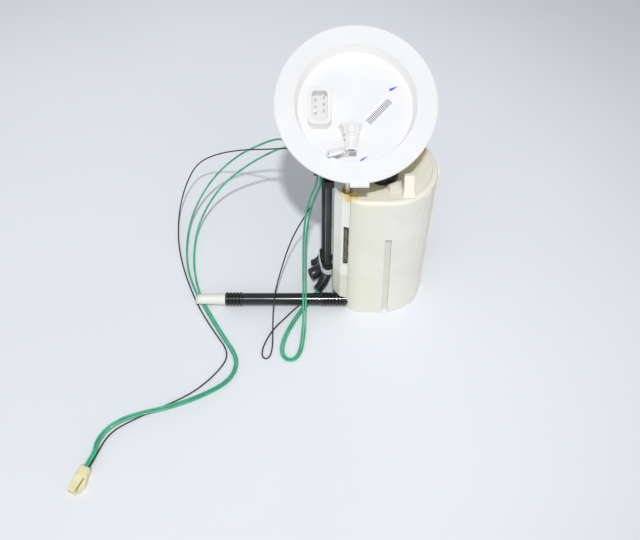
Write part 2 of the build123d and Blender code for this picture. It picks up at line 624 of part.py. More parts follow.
PIPE_AXIS = Axis((0, PIPE_Y, PIPE_Z), (1, 0, 0))
PIPE_PLANE = Plane(origin=(0, PIPE_Y, PIPE_Z), x_dir=(1, 0, 0), z_dir=(0, -1, 0))
BARB_END_X = POT_FLAT_X - 17.0
JET_END_X = -8.0
PIPE_START_X = POT_FLAT_X - SEAT
JET_RADIUS = PIPE_BORE - 0.6
with BuildPart() as jet_pump:
    with BuildSketch(PIPE_PLANE):
        with BuildLine():
            Polyline(
                (BARB_END_X, 2.4), (BARB_END_X, PIPE_BORE), (PIPE_FLOOR_X, PIPE_BORE),
                (PIPE_FLOOR_X, JET_RADIUS), (JET_END_X, JET_RADIUS), (JET_END_X, 3.0),
                (JET_END_X - 8, 1.2), (JET_END_X - 12, 2.4),
                close=True,
            )
        make_face()
    revolve(axis=PIPE_AXIS)
jet_pump.part.label = "jet_pump"
pieces.append(jet_pump.part)


def ribbed_stretch(start, end):
    """The points of a row of round-topped ribs along the pipe's outside."""
    count = round(abs(end - start) / PIPE_RIB_PITCH)
    step = (end - start) / count
    points = []
    for rib in range(count):
        left = start + rib * step
        points += [(left, PIPE_RADIUS), (left + 0.2 * step, PIPE_RIB_RADIUS),
                   (left + 0.7 * step, PIPE_RIB_RADIUS), (left + 0.9 * step, PIPE_RADIUS)]
    return points


RIBS_NEAR = (PIPE_START_X - 24.0, PIPE_START_X - 1.0)
RIBS_FAR = (PIPE_END_X + 0.5, PIPE_END_X + 16.5)
with BuildPart() as transfer_pipe:
    with BuildSketch(PIPE_PLANE):
        with BuildLine():
            Polyline(
                (PIPE_END_X, PIPE_BORE), (PIPE_END_X, PIPE_RADIUS),
                *ribbed_stretch(*RIBS_FAR), *ribbed_stretch(*RIBS_NEAR),
                (PIPE_START_X, PIPE_RADIUS), (PIPE_START_X, PIPE_BORE),
                close=True,
            )
        make_face()
    revolve(axis=PIPE_AXIS)
transfer_pipe.part.label = "transfer_pipe"
pieces.append(transfer_pipe.part)

NOZZLE_SPIGOT = 14.0
NOZZLE_WALL = 1.3
NOZZLE_END_X = PIPE_END_X - NOZZLE_LENGTH
with BuildPart() as transfer_nozzle:
    with BuildSketch(PIPE_PLANE):
        with BuildLine():
            Polyline(
                (PIPE_END_X + NOZZLE_SPIGOT, PIPE_BORE - NOZZLE_WALL), (PIPE_END_X + NOZZLE_SPIGOT, PIPE_BORE),
                (PIPE_END_X, PIPE_BORE), (PIPE_END_X, PIPE_RADIUS - 0.2),
                (NOZZLE_END_X, NOZZLE_TIP_RADIUS), (NOZZLE_END_X, NOZZLE_TIP_RADIUS - NOZZLE_WALL),
                (PIPE_END_X - 2, PIPE_BORE - NOZZLE_WALL),
                close=True,
            )
        make_face()
    revolve(axis=PIPE_AXIS)
    split(
        bisect_by=Plane(origin=(NOZZLE_END_X + 2.5, PIPE_Y, PIPE_Z), z_dir=(1, 0, -0.45)),
        keep=Keep.TOP,
    )
transfer_nozzle.part.label = "transfer_nozzle"
pieces.append(transfer_nozzle.part)

# ---------------------------------------------------------------- level sender
SENDER_WIDTH, SENDER_HIGH, SENDER_LOW = 24.0, SENDER_Z + 22, SENDER_Z - 24
SENDER_BACK_Y = SENDER_PAD_Y + SEAT
HUB_Y = SENDER_BACK_Y + SENDER_DEPTH
HUB_RADIUS, HUB_THICKNESS = 5.5, 3.0
PIVOT_RADIUS = 1.6
STOP_WIDTH = 2.4
ARM_Y = HUB_Y + GAP + HUB_THICKNESS / 2
FLOAT_Z = SENDER_Z - ARM_REACH
FLOAT_X = SENDER_X + 9.0
with BuildPart() as sender_housing:
    with BuildSketch(Plane.XZ.offset(-SENDER_BACK_Y)):
        with Locations((SENDER_X, (SENDER_HIGH + SENDER_LOW) / 2)):
            RectangleRounded(SENDER_WIDTH, SENDER_HIGH - SENDER_LOW, 3)
    extrude(amount=-SENDER_DEPTH)
    with BuildSketch(Plane.XZ.offset(-HUB_Y)):
        with Locations((SENDER_X, (SENDER_HIGH + SENDER_LOW) / 2)):
            RectangleRounded(SENDER_WIDTH - 5, SENDER_HIGH - SENDER_LOW - 5, 2)
        with Locations((SENDER_X, SENDER_Z)):
            Circle(HUB_RADIUS + 1, mode=Mode.SUBTRACT)
    extrude(amount=SENDER_RECESS, mode=Mode.SUBTRACT)
    with BuildSketch(Plane.XZ.offset(-HUB_Y)):
        with Locations((SENDER_X, SENDER_Z)):
            Circle(PIVOT_RADIUS)
    extrude(amount=-GAP - HUB_THICKNESS - 1.0)
    with BuildSketch(Plane.XZ.offset(-HUB_Y + SENDER_RECESS)):
        with Locations((SENDER_X - ARM_RADIUS - GAP - STOP_WIDTH / 2, SENDER_Z - 16)):
            Rectangle(STOP_WIDTH, 5)
    extrude(amount=-SENDER_RECESS - GAP - HUB_THICKNESS)
sender_housing.part.label = "sender_housing"
pieces.append(sender_housing.part)

RESISTOR_DEPTH = 0.9
with BuildPart() as sender_card:
    with BuildSketch(Plane.XZ.offset(-HUB_Y + SENDER_RECESS)):
        with Locations((SENDER_X, SENDER_Z + HUB_RADIUS + 7.5)):
            Rectangle(SENDER_WIDTH - 6, 11)
    extrude(amount=-RESISTOR_DEPTH)
sender_card.part.label = "sender_card"
pieces.append(sender_card.part)

with BuildPart() as float_arm:
    with BuildSketch(Plane.XZ.offset(-HUB_Y - GAP)):
        with Locations((SENDER_X, SENDER_Z)):
            Circle(HUB_RADIUS)
            Circle(PIVOT_RADIUS + FIT, mode=Mode.SUBTRACT)
    extrude(amount=-HUB_THICKNESS)
    with BuildLine():
        FilletPolyline(
            (SENDER_X, ARM_Y, SENDER_Z - HUB_RADIUS + 1),
            (SENDER_X, ARM_Y, SENDER_Z - 20),
            (FLOAT_X, ARM_Y, SENDER_Z - 34),
            (FLOAT_X, ARM_Y, FLOAT_Z),
            (FLOAT_X, ARM_Y + 10, FLOAT_Z),
            radius=3.5,
        )
    with BuildSketch(Plane(origin=(SENDER_X, ARM_Y, SENDER_Z - HUB_RADIUS + 1), z_dir=(0, 0, -1))):
        Circle(ARM_RADIUS)
    sweep()
float_arm.part.label = "float_arm"
pieces.append(float_arm.part)

FLOAT_FRONT_Y = ARM_Y + 3.6
with BuildPart() as sender_float:
    with BuildSketch(Plane.XZ.offset(-FLOAT_FRONT_Y)):
        with Locations((FLOAT_X, FLOAT_Z)):
            RectangleRounded(FLOAT_LENGTH, FLOAT_HEIGHT, 5)
    extrude(amount=-FLOAT_WIDTH)
    fillet(sender_float.faces().sort_by(Axis.Y)[-1].edges(), 1.6)
    fillet(sender_float.faces().sort_by(Axis.Y)[0].edges(), 1.6)
    with Locations(Location((FLOAT_X, FLOAT_FRONT_Y, FLOAT_Z), (1, 0, 0), 90)):
        Hole(ARM_RADIUS + FIT, depth=FLOAT_WIDTH)
sender_float.part.label = "sender_float"
pieces.append(sender_float.part)

# ---------------------------------------------------------------- rods, springs and carrier
COLLAR_RADIUS = SLEEVE_BORE - GAP
with BuildPart() as guide_rod_front:
    with BuildSketch(Plane.XY.offset(ROD_LOW)):
        with Locations((ROD_X, -ROD_Y)):
            Circle(ROD_RADIUS)
    extrude(amount=ROD_HIGH - ROD_LOW)
    with BuildSketch(Plane.XY.offset(COLLAR_LOW)):
        with Locations((ROD_X, -ROD_Y)):
            Circle(COLLAR_RADIUS)
    extrude(amount=COLLAR_HEIGHT)
    chamfer(guide_rod_front.faces().sort_by(Axis.Z)[0].edges(), 0.6)
guide_rod_front.part.label = "guide_rod_front"
pieces.append(guide_rod_front.part)
guide_rod_rear = guide_rod_front.part.moved(Pos(0, 2 * ROD_Y, 0))
guide_rod_rear.label = "guide_rod_rear"
pieces.append(guide_rod_rear)

SPRING_HEIGHT = COLLAR_LOW - SPRING_SEAT - SPRING_WIRE - 2 * SEAT
with BuildPart() as guide_spring_front:
    with BuildLine():
        Helix(
            pitch=SPRING_HEIGHT / SPRING_TURNS,
            height=SPRING_HEIGHT,
            radius=SPRING_RADIUS,
            center=(ROD_X, -ROD_Y, SPRING_SEAT + SPRING_WIRE / 2 + SEAT),
        )
    start = guide_spring_front.pending_edges[0]
    with BuildSketch(Plane(origin=start @ 0, z_dir=start % 0)):
        Circle(SPRING_WIRE / 2)
    sweep(is_frenet=True)
guide_spring_front.part.label = "guide_spring_front"
pieces.append(guide_spring_front.part)
guide_spring_rear = guide_spring_front.part.moved(Pos(0, 2 * ROD_Y, 0))
guide_spring_rear.label = "guide_spring_rear"
pieces.append(guide_spring_rear)

BOSS_RADIUS = 4.2
BOSS_LOW = POT_HEIGHT + TRAVEL + 0.8
BEAM_LOW = POT_HEIGHT + TRAVEL + 3.6
BEAM_WIDTH = 8.0
BEAM_HIGH = POT_HEIGHT + BEAM_ABOVE_POT
POST_HALF = 6.5
MANIFOLD_SIDE_X = BRACKET_LEFT - SEAT
with BuildPart() as carrier_yoke:
    with BuildSketch(Plane.YZ.offset(ROD_X - BEAM_WIDTH / 2)):
        with BuildLine():
            Polyline(
                (-ROD_Y, BEAM_LOW), (ROD_Y, BEAM_LOW), (ROD_Y, BEAM_HIGH),
                (-16.0, BEAM_HIGH), (-ROD_Y, ROD_HIGH - 1.2),
                close=True,
            )
        make_face()
    extrude(amount=BEAM_WIDTH)
    with BuildSketch(Plane.XY.offset(BOSS_LOW)):
        with Locations((ROD_X, -ROD_Y), (ROD_X, ROD_Y)):
            Circle(BOSS_RADIUS)
    extrude(amount=ROD_HIGH - BOSS_LOW)
    with BuildSketch(Plane.YZ.offset(HINGE_X - POST_WIDTH / 2)):
        with BuildLine():
            Polyline(
                (HINGE_Y - 2 * POST_HALF, BEAM_LOW), (HINGE_Y + POST_HALF, BEAM_LOW),
                (HINGE_Y + EAR_RADIUS, HINGE_Z), (HINGE_Y - EAR_RADIUS, HINGE_Z),
                close=True,
            )
        make_face()
        with Locations((HINGE_Y, HINGE_Z)):
            Circle(EAR_RADIUS)
    extrude(amount=POST_WIDTH)
    with BuildSketch(Plane.YZ.offset(HINGE_X - POST_WIDTH / 2 + 4)):
        with Locations((HINGE_Y - 2.0, (BEAM_HIGH + HINGE_Z) / 2 - 1)):
            Rectangle(6, 8)
    extrude(amount=POST_WIDTH - 8, mode=Mode.SUBTRACT)
    with BuildSketch(Plane.XY.offset(BEAM_LOW)):
        with Locations(((MANIFOLD_SIDE_X + ROD_X) / 2, 2)):
            Rectangle(ROD_X - MANIFOLD_SIDE_X, 9)
    extrude(amount=BEAM_HIGH - BEAM_LOW)
    with BuildSketch(Plane.YZ.offset(HINGE_X - POST_WIDTH)):
        with Locations((HINGE_Y, HINGE_Z)):
            Circle(PIN_RADIUS + FIT)
    extrude(amount=2 * POST_WIDTH, mode=Mode.SUBTRACT)
    with BuildSketch(Plane.XY.offset(BOSS_LOW)):
        with Locations((ROD_X, -ROD_Y), (ROD_X, ROD_Y)):
            Circle(ROD_RADIUS)
    extrude(amount=ROD_HIGH - BOSS_LOW, mode=Mode.SUBTRACT)
carrier_yoke.part.label = "carrier_yoke"
pieces.append(carrier_yoke.part)

UPRIGHTS = (
    (FEED_X, FEED_Y, FEED_RADIUS),
    (BREATHER_X, BREATHER_Y, BREATHER_RADIUS),
    (RISER_X, RISER_Y, RISER_RADIUS),
)
BLOCK_LOW_Y, BLOCK_HIGH_Y = -12.4, 22.4
with BuildPart() as line_manifold:
    with BuildSketch(Plane.XY.offset(MANIFOLD_LOW)):
        with BuildLine():
            Polyline(
                (MANIFOLD_SIDE_X, BLOCK_LOW_Y), (MANIFOLD_SIDE_X, 14.0),
                (MANIFOLD_LEFT, 14.0), (MANIFOLD_LEFT, BLOCK_LOW_Y),
                close=True,
            )
        make_face()
    extrude(amount=MANIFOLD_HIGH - MANIFOLD_LOW)
    fillet(line_manifold.edges().filter_by(Axis.Z).group_by(Axis.X)[0], 2)
    for line_x, line_y, line_radius in UPRIGHTS:
        with BuildSketch(Plane.XY.offset(MANIFOLD_HIGH)):
            with Locations((line_x, line_y)):
                Circle(line_radius - 0.6)
        extrude(amount=6)
line_manifold.part.label = "line_manifold"
pieces.append(line_manifold.part)

# ---------------------------------------------------------------- flange, drawn in its own frame
FLOOR_Z = -RECESS_DEPTH
UNDER_Z = FLOOR_Z - FLANGE_FLOOR
FLANGE_PROFILE = Plane.XZ
SEAL_TOP = -FLANGE_RIM + SEAL_GROOVE
RECESS_RADIUS = SKIRT_RADIUS - RECESS_WALL
RECESS_FLOOR_RADIUS = RECESS_RADIUS - RECESS_DRAFT
SEAL_SEAT_RADIUS = SKIRT_RADIUS + SEAL_WIDTH + SEAT
EAR_INNER = POST_WIDTH / 2 + GAP
PIVOT_X = HINGE_X - FLANGE_X
RISER_BLOCK_RADIUS = 6.4
SPIGOT_SOCKET_Y = OUTLET_RISER_Y - 3.0
OUTLET_Z = FLOOR_Z + OUTLET_AXIS
NIPPLE_Z = FLOOR_Z + NIPPLE_AXIS
NIPPLE_START = (NIPPLE_START_X, NIPPLE_START_INSET - RECESS_RADIUS)
NIPPLE_END = (NIPPLE_END_X, NIPPLE_END_INSET - RECESS_RADIUS)
NIPPLE_ROOT = (OUTLET_X - 4.6, NIPPLE_START[1] + 7.5)
with BuildPart() as flange_plate:
    with BuildSketch(FLANGE_PROFILE):
        with BuildLine():
            Polyline(
                (0, FLOOR_Z), (RECESS_FLOOR_RADIUS, FLOOR_Z), (RECESS_RADIUS, 0),
                (FLANGE_RADIUS - 1, 0), (FLANGE_RADIUS, -1), (FLANGE_RADIUS, -FLANGE_RIM),
                (SEAL_SEAT_RADIUS, -FLANGE_RIM), (SEAL_SEAT_RADIUS, SEAL_TOP), (SKIRT_RADIUS, SEAL_TOP),
                (SKIRT_RADIUS, -SKIRT_DEPTH + 1),
                (SKIRT_RADIUS - 0.6, -SKIRT_DEPTH), (SKIRT_RADIUS - SKIRT_WALL, -SKIRT_DEPTH),
                (SKIRT_RADIUS - SKIRT_WALL, UNDER_Z), (0, UNDER_Z),
                close=True,
            )
        make_face()
    revolve(axis=Axis.Z)
    with BuildSketch(Plane.XY.offset(-FLANGE_RIM)):
        with Locations((TAB_X, -FLANGE_RADIUS + 1)):
            Rectangle(TAB_WIDTH, 2 * TAB_PROUD + 2)
    extrude(amount=FLANGE_RIM - 0.6)
flange_plate.part.label = "flange_plate"

RIB_COUNT, RIB_RING_RADIUS, RIB_THICKNESS = 12, 26.0, 1.6
RIB_DEPTH = SKIRT_DEPTH + UNDER_Z
RIB_REACH = SKIRT_RADIUS - SKIRT_WALL - SEAT - RIB_RING_RADIUS
with BuildPart() as flange_ribs:
    with BuildSketch(Plane.XY.offset(UNDER_Z)):
        Circle(RIB_RING_RADIUS)
        Circle(RIB_RING_RADIUS - 2 * RIB_THICKNESS, mode=Mode.SUBTRACT)
        with PolarLocations(RIB_RING_RADIUS - RIB_THICKNESS + RIB_REACH / 2, RIB_COUNT):
            Rectangle(RIB_REACH, RIB_THICKNESS)
    extrude(amount=-RIB_DEPTH)
flange_ribs.part.label = "flange_ribs"

EAR_BASE = 1.4
with BuildPart() as hinge_ears:
    with BuildSketch(Plane.XY.offset(UNDER_Z)):
        with Locations((PIVOT_X, 0)):
            Rectangle(2 * (EAR_INNER + EAR_THICKNESS), 4 * EAR_RADIUS)
    extrude(amount=-EAR_BASE)
    for side in (-1, 1):
        with BuildSketch(Plane.YZ.offset(PIVOT_X + side * (EAR_INNER + EAR_THICKNESS / 2))):
            with BuildLine():
                Polyline(
                    (-2 * EAR_RADIUS, UNDER_Z), (2 * EAR_RADIUS, UNDER_Z),
                    (EAR_RADIUS, -HINGE_DROP), (-EAR_RADIUS, -HINGE_DROP),
                    close=True,
                )
            make_face()
            with Locations((0, -HINGE_DROP)):
                Circle(EAR_RADIUS)
                Circle(PIN_RADIUS, mode=Mode.SUBTRACT)
        extrude(amount=EAR_THICKNESS / 2, both=True)
hinge_ears.part.label = "hinge_ears"

with BuildPart() as connector_tower:
    with BuildSketch(Plane.XY.offset(FLOOR_Z)):
        with Locations((TOWER_X, TOWER_Y)):
            RectangleRounded(TOWER_WIDTH, TOWER_LENGTH, 5.5)
    extrude(amount=TOWER_HEIGHT, taper=1.5)
    with BuildSketch(Plane.XY.offset(FLOOR_Z + TOWER_HEIGHT)):
        with Locations((TOWER_X, TOWER_Y)):
            RectangleRounded(TOWER_WIDTH - 2 * TOWER_WALL, TOWER_LENGTH - 2 * TOWER_WALL, 2.4)
    extrude(amount=-TOWER_HEIGHT + TOWER_FLOOR, mode=Mode.SUBTRACT)
connector_tower.part.label = "connector_tower"

with BuildPart() as outlet_block:
    with BuildSketch(Plane.XY.offset(FLOOR_Z)):
        with Locations((OUTLET_X, OUTLET_RISER_Y)):
            Circle(RISER_BLOCK_RADIUS)
    extrude(amount=OUTLET_AXIS - OUTLET_RADIUS)
    with BuildSketch(Plane.XZ.offset(-OUTLET_RISER_Y)):
        with Locations((OUTLET_X, OUTLET_Z)):
            Circle(RISER_BLOCK_RADIUS - 0.4)
    extrude(amount=RISER_BLOCK_RADIUS + 1.0)
    with BuildSketch(Plane.XY.offset(FLOOR_Z)):
        with BuildLine():
            Polyline(
                (OUTLET_X - 9.8, -16), (OUTLET_X - 5.2, -27), (OUTLET_X - 3.4, -29),
                (OUTLET_X + 3.4, -29), (OUTLET_X + 5.2, -27), (OUTLET_X + 9.8, -16),
                close=True,
            )
        make_face()
    extrude(amount=OUTLET_AXIS - OUTLET_RADIUS - 0.6, taper=6)
    with BuildSketch(Plane.XY.offset(FLOOR_Z)):
        with Locations(NIPPLE_START):
            Circle(NIPPLE_RADIUS + 1.0)
        with Locations(NIPPLE_ROOT):
            Circle(NIPPLE_RADIUS)
        make_hull()
    extrude(amount=OUTLET_AXIS - OUTLET_RADIUS - 1.2)
    with BuildSketch(Plane.XZ.offset(-SPIGOT_SOCKET_Y)):
        with Locations((OUTLET_X, OUTLET_Z)):
            Circle(OUTLET_RADIUS)
    extrude(amount=RISER_BLOCK_RADIUS + 2, mode=Mode.SUBTRACT)

nipple_level = Vector(NIPPLE_END[0] - NIPPLE_START[0], NIPPLE_END[1] - NIPPLE_START[1], 0)
nipple_along = nipple_level + Vector(0, 0, nipple_level.length * tan(radians(NIPPLE_RISE)))
NIPPLE_PLANE = Plane(origin=(*NIPPLE_START, NIPPLE_Z), z_dir=nipple_along)
NIPPLE_SEAT_RADIUS = NIPPLE_RADIUS - 0.5
with BuildPart() as nipple_socket:
    with BuildSketch(NIPPLE_PLANE):
        Circle(NIPPLE_SEAT_RADIUS)
    extrude(amount=nipple_along.length)
with outlet_block:
    add(nipple_socket.part, mode=Mode.SUBTRACT)
outlet_block.part.label = "outlet_block"

BEAD_Y = OUTLET_END_Y + BEAD_FROM
with BuildPart() as outlet_spigot:
    with BuildSketch(Plane.YZ.offset(OUTLET_X)):
        with BuildLine():
            Polyline(
                (SPIGOT_SOCKET_Y, OUTLET_Z + OUTLET_BORE), (SPIGOT_SOCKET_Y, OUTLET_Z + OUTLET_RADIUS),
                (BEAD_Y, OUTLET_Z + OUTLET_RADIUS),
                (BEAD_Y - 0.2 * BEAD_LENGTH, OUTLET_Z + OUTLET_RADIUS + BEAD_PROUD),
                (BEAD_Y - 0.8 * BEAD_LENGTH, OUTLET_Z + OUTLET_RADIUS + BEAD_PROUD),
                (BEAD_Y - BEAD_LENGTH, OUTLET_Z + OUTLET_RADIUS),
                (OUTLET_END_Y + 0.6, OUTLET_Z + OUTLET_RADIUS), (OUTLET_END_Y, OUTLET_Z + OUTLET_RADIUS - 0.5),
                (OUTLET_END_Y, OUTLET_Z + OUTLET_BORE),
                close=True,
            )
        make_face()
    revolve(axis=Axis((OUTLET_X, 0, OUTLET_Z), (0, 1, 0)))
outlet_spigot.part.label = "outlet_spigot"

with BuildPart() as vent_nipple:
    with BuildSketch(NIPPLE_PLANE):
        Circle(NIPPLE_SEAT_RADIUS)
    extrude(amount=NIPPLE_SEATED)
    with BuildSketch(NIPPLE_PLANE.offset(NIPPLE_SEATED)):
        Circle(NIPPLE_RADIUS)
    extrude(amount=nipple_along.length - NIPPLE_SEATED)
    with BuildSketch(NIPPLE_PLANE.offset(3)):
        Circle(NIPPLE_BORE)
    extrude(amount=nipple_along.length, mode=Mode.SUBTRACT)
    chamfer(vent_nipple.faces().sort_by(Axis(NIPPLE_PLANE.origin, nipple_along))[-1].outer_wire().edges(), 0.5)
vent_nipple.part.label = "vent_nipple"

PIN_GRID = [
    (TOWER_X + column * PIN_PITCH_X / 2, TOWER_Y + 3.0 + row * PIN_PITCH_Y + column * 1.0)
    for column in (-1, 1)
    for row in (-1, 0, 1)
]
with BuildPart() as terminal_pins:
    with BuildSketch(Plane.XY.offset(FLOOR_Z + TOWER_FLOOR)):
        with Locations(*PIN_GRID):
            Rectangle(1.4, 1.4)
    extrude(amount=7.5, taper=1)
terminal_pins.part.label = "terminal_pins"

with BuildPart() as flange_seal:
    with BuildSketch(FLANGE_PROFILE):
        with BuildLine():
            Polyline(
                (SKIRT_RADIUS, SEAL_TOP), (SKIRT_RADIUS + SEAL_WIDTH, SEAL_TOP),
                (SKIRT_RADIUS + SEAL_WIDTH, -FLANGE_RIM - 1.6),
                (SKIRT_RADIUS + SEAL_WIDTH - 1.6, -FLANGE_RIM - SEAL_HEIGHT),
                (SKIRT_RADIUS + 1.2, -FLANGE_RIM - SEAL_HEIGHT), (SKIRT_RADIUS, -FLANGE_RIM - SEAL_HEIGHT + 1),
                close=True,
            )
        make_face()
    revolve(axis=Axis.Z)
flange_seal.part.label = "flange_seal"

LABEL_X, LABEL_Y, LABEL_ANGLE = 17.5, -3.8, 45.9
LABEL_LENGTH, LABEL_WIDTH, LABEL_THICKNESS = 30.0, 10.0, 0.25
with BuildPart() as id_label:
    with BuildSketch(Plane.XY.offset(FLOOR_Z)):
        with Locations(Location((LABEL_X, LABEL_Y, 0), (0, 0, 1), LABEL_ANGLE)):
            Rectangle(LABEL_LENGTH, LABEL_WIDTH)
    extrude(amount=LABEL_THICKNESS)
id_label.part.label = "id_label"

with BuildPart() as hinge_pin:
    with BuildSketch(Plane.YZ.offset(PIVOT_X - EAR_INNER - EAR_THICKNESS - 0.8)):
        with Locations((0, -HINGE_DROP)):
            Circle(PIN_RADIUS)
    extrude(amount=2 * (EAR_INNER + EAR_THICKNESS + 0.8))
hinge_pin.part.label = "hinge_pin"

FLANGE_GROUP = (
    flange_plate, flange_ribs, hinge_ears, connector_tower, outlet_block, outlet_spigot,
    vent_nipple, terminal_pins, flange_seal, id_label, hinge_pin,
)
for drawn in FLANGE_GROUP:
    tilted = drawn.part.moved(FLANGE.location)
    tilted.label = drawn.part.label
    pieces.append(tilted)

# ---------------------------------------------------------------- lines beside the bracket
with BuildPart() as harness_clip:
    with BuildSketch(Plane.XY.offset(CLIP_LOW)):
        with BuildLine():
            Polyline(
                (BRACKET_LEFT, BLOCK_LOW_Y), (BRACKET_LEFT, BLOCK_HIGH_Y),
                (CLIP_LEFT, BLOCK_HIGH_Y), (CLIP_LEFT, BLOCK_LOW_Y),
                close=True,
            )
        make_face()
        for line_x, line_y, line_radius in UPRIGHTS:
            with Locations((line_x, line_y)):
                Circle(line_radius + SEAT, mode=Mode.SUBTRACT)
    extrude(amount=CLIP_HIGH - CLIP_LOW)
    fillet(harness_clip.edges().filter_by(Axis.Z).group_by(Axis.X)[0], 2)
harness_clip.part.label = "harness_clip"
pieces.append(harness_clip.part)

for label, (line_x, line_y, line_radius) in zip(("feed_line", "breather_line", "wire_riser"), UPRIGHTS):
    with BuildPart() as upright:
        with BuildSketch(Plane.XY.offset(LINE_LOW)):
            with Locations((line_x, line_y)):
                Circle(line_radius)
        extrude(amount=MANIFOLD_LOW - LINE_LOW)
    upright.part.label = label
    pieces.append(upright.part)


def bent_sleeve(label, points, radius, rib=0.0, pitch=2.4):
    """A short sleeve that comes down upright and bends out to an open lower end."""
    path = FilletPolyline(*points, radius=1.9 * radius, mode=Mode.PRIVATE)
    outlet = Plane(origin=points[0], z_dir=Vector(*points[1]) - Vector(*points[0]))
    straight = (Vector(*points[1]) - Vector(*points[0])).length
    with BuildPart() as sleeve:
        with BuildSketch(outlet):
            Circle(radius - rib)
        sweep(path=path)
        if rib:
            count = int((straight - 2 * radius) / pitch)
            for turn in range(max(count, 3)):
                with BuildSketch(outlet.offset(turn * pitch)):
                    Circle(radius)
                extrude(amount=pitch * 0.55)
    sleeve.part.label = label
    return sleeve.part


FEED_SLEEVE_RADIUS = 5.0
FEED_SLEEVE_X = BRACKET_LEFT - SEAT - FEED_SLEEVE_RADIUS
SLEEVES = (
    ("feed_sleeve", [(-66.4, -4.6, 12.5), (FEED_SLEEVE_X, FEED_Y, 14.5), (FEED_SLEEVE_X, FEED_Y, LINE_LOW)],
     FEED_SLEEVE_RADIUS, 0.0),
    ("breather_sleeve", [(-66.6, 6.9, 14.5), (BREATHER_X, BREATHER_Y, 17.0), (BREATHER_X, BREATHER_Y, LINE_LOW)],
     3.1, 0.4),
    ("wire_sleeve", [(-59.2, -18.0, 7.8), (RISER_X, RISER_Y, 11.0), (RISER_X, RISER_Y, LINE_LOW)],
     4.9, 0.5),
)
for sleeve_label, sleeve_points, sleeve_radius, sleeve_rib in SLEEVES:
    pieces.append(bent_sleeve(sleeve_label, sleeve_points, sleeve_radius, sleeve_rib))

STRAP_LOW, STRAP_HEIGHT, STRAP_THICKNESS = 24.5, 4.6, 1.1
STRAP_GAP = 0.6
with BuildPart() as line_strap:
    with BuildSketch(Plane.XY.offset(STRAP_LOW)) as strap_plan:
        for sleeve_label, sleeve_points, sleeve_radius, sleeve_rib in SLEEVES:
            with Locations(sleeve_points[-1][:2]):
                Circle(sleeve_radius + STRAP_THICKNESS)
        make_hull()
        with BuildSketch(Plane.XY.offset(STRAP_LOW), mode=Mode.SUBTRACT):
            for sleeve_label, sleeve_points, sleeve_radius, sleeve_rib in SLEEVES:
                with Locations(sleeve_points[-1][:2]):
                    Circle(sleeve_radius + SEAT / 2)
            make_hull()
    extrude(amount=STRAP_HEIGHT)
    split(bisect_by=Plane(origin=(BRACKET_LEFT - STRAP_GAP, 0, 0), z_dir=(-1, 0, 0)))
line_strap.part.label = "line_strap"
pieces.append(line_strap.part)

# ---------------------------------------------------------------- free plug
PLUG_PLANE = Plane(
    origin=(PLUG_X, PLUG_Y, 0),
    x_dir=(cos(radians(PLUG_HEADING)), sin(radians(PLUG_HEADING)), 0),
    z_dir=(0, 0, 1),
)
PLUG_REAR_HALF = 4.2
PLUG_SHOULDER = 3.2             # extra width of the guide wings at each side
PLUG_BAR_HALF = 3.5
PLUG_SLOT = 1.1
PLUG_WING_END = PLUG_LENGTH - 2.2
PLUG_LOW = 0.2
WING_HEIGHT = 6.2
WIRE_Z = 4.3
WIRE_OFFSETS = (2.1, -0.05, -1.8)
with BuildPart() as plug_housing:
    with BuildSketch(PLUG_PLANE.offset(PLUG_LOW)):
        with BuildLine():
            Polyline(
                (0, -PLUG_REAR_HALF), (0, PLUG_REAR_HALF), (4.5, PLUG_REAR_HALF + 0.6),
                (13, PLUG_REAR_HALF + PLUG_SHOULDER), (PLUG_WING_END, PLUG_REAR_HALF + 1.4),
                (PLUG_WING_END, PLUG_BAR_HALF + PLUG_SLOT), (9.5, PLUG_BAR_HALF + PLUG_SLOT),
                (9.5, PLUG_BAR_HALF), (9.5, -PLUG_REAR_HALF - 0.4), (4.5, -PLUG_REAR_HALF - 0.4),
                close=True,
            )
        make_face()
    extrude(amount=WING_HEIGHT)
    with BuildSketch(PLUG_PLANE.offset(PLUG_LOW)):
        with BuildLine():
            Polyline(
                (0, -PLUG_REAR_HALF), (0, PLUG_REAR_HALF), (8.5, PLUG_BAR_HALF),
                (PLUG_LENGTH, PLUG_BAR_HALF - 0.5), (PLUG_LENGTH, -PLUG_BAR_HALF + 0.5),
                (8.5, -PLUG_BAR_HALF),
                close=True,
            )
        make_face()
    extrude(amount=PLUG_HEIGHT - PLUG_LOW)
    chamfer(plug_housing.faces().sort_by(Axis.Z)[-1].edges(), 0.7)
    with BuildSketch(Plane(
        origin=PLUG_PLANE.from_local_coords((PLUG_LENGTH, 0, WIRE_Z)),
        x_dir=PLUG_PLANE.y_dir, z_dir=-PLUG_PLANE.x_dir,
    )):
        Rectangle(2 * PLUG_BAR_HALF - 2.8, 4.2)
    extrude(amount=PLUG_LENGTH - 6, mode=Mode.SUBTRACT)
plug_housing.part.label = "plug_housing"
pieces.append(plug_housing.part)

with BuildPart() as plug_terminals:
    with BuildSketch(Plane(
        origin=PLUG_PLANE.from_local_coords((6, 0, WIRE_Z)),
        x_dir=PLUG_PLANE.y_dir, z_dir=PLUG_PLANE.x_dir,
    )):
        with GridLocations(1.4, 1.0, 3, 1):
            Rectangle(0.6, 2.4)
    extrude(amount=PLUG_LENGTH - 10)
plug_terminals.part.label = "plug_terminals"
pieces.append(plug_terminals.part)

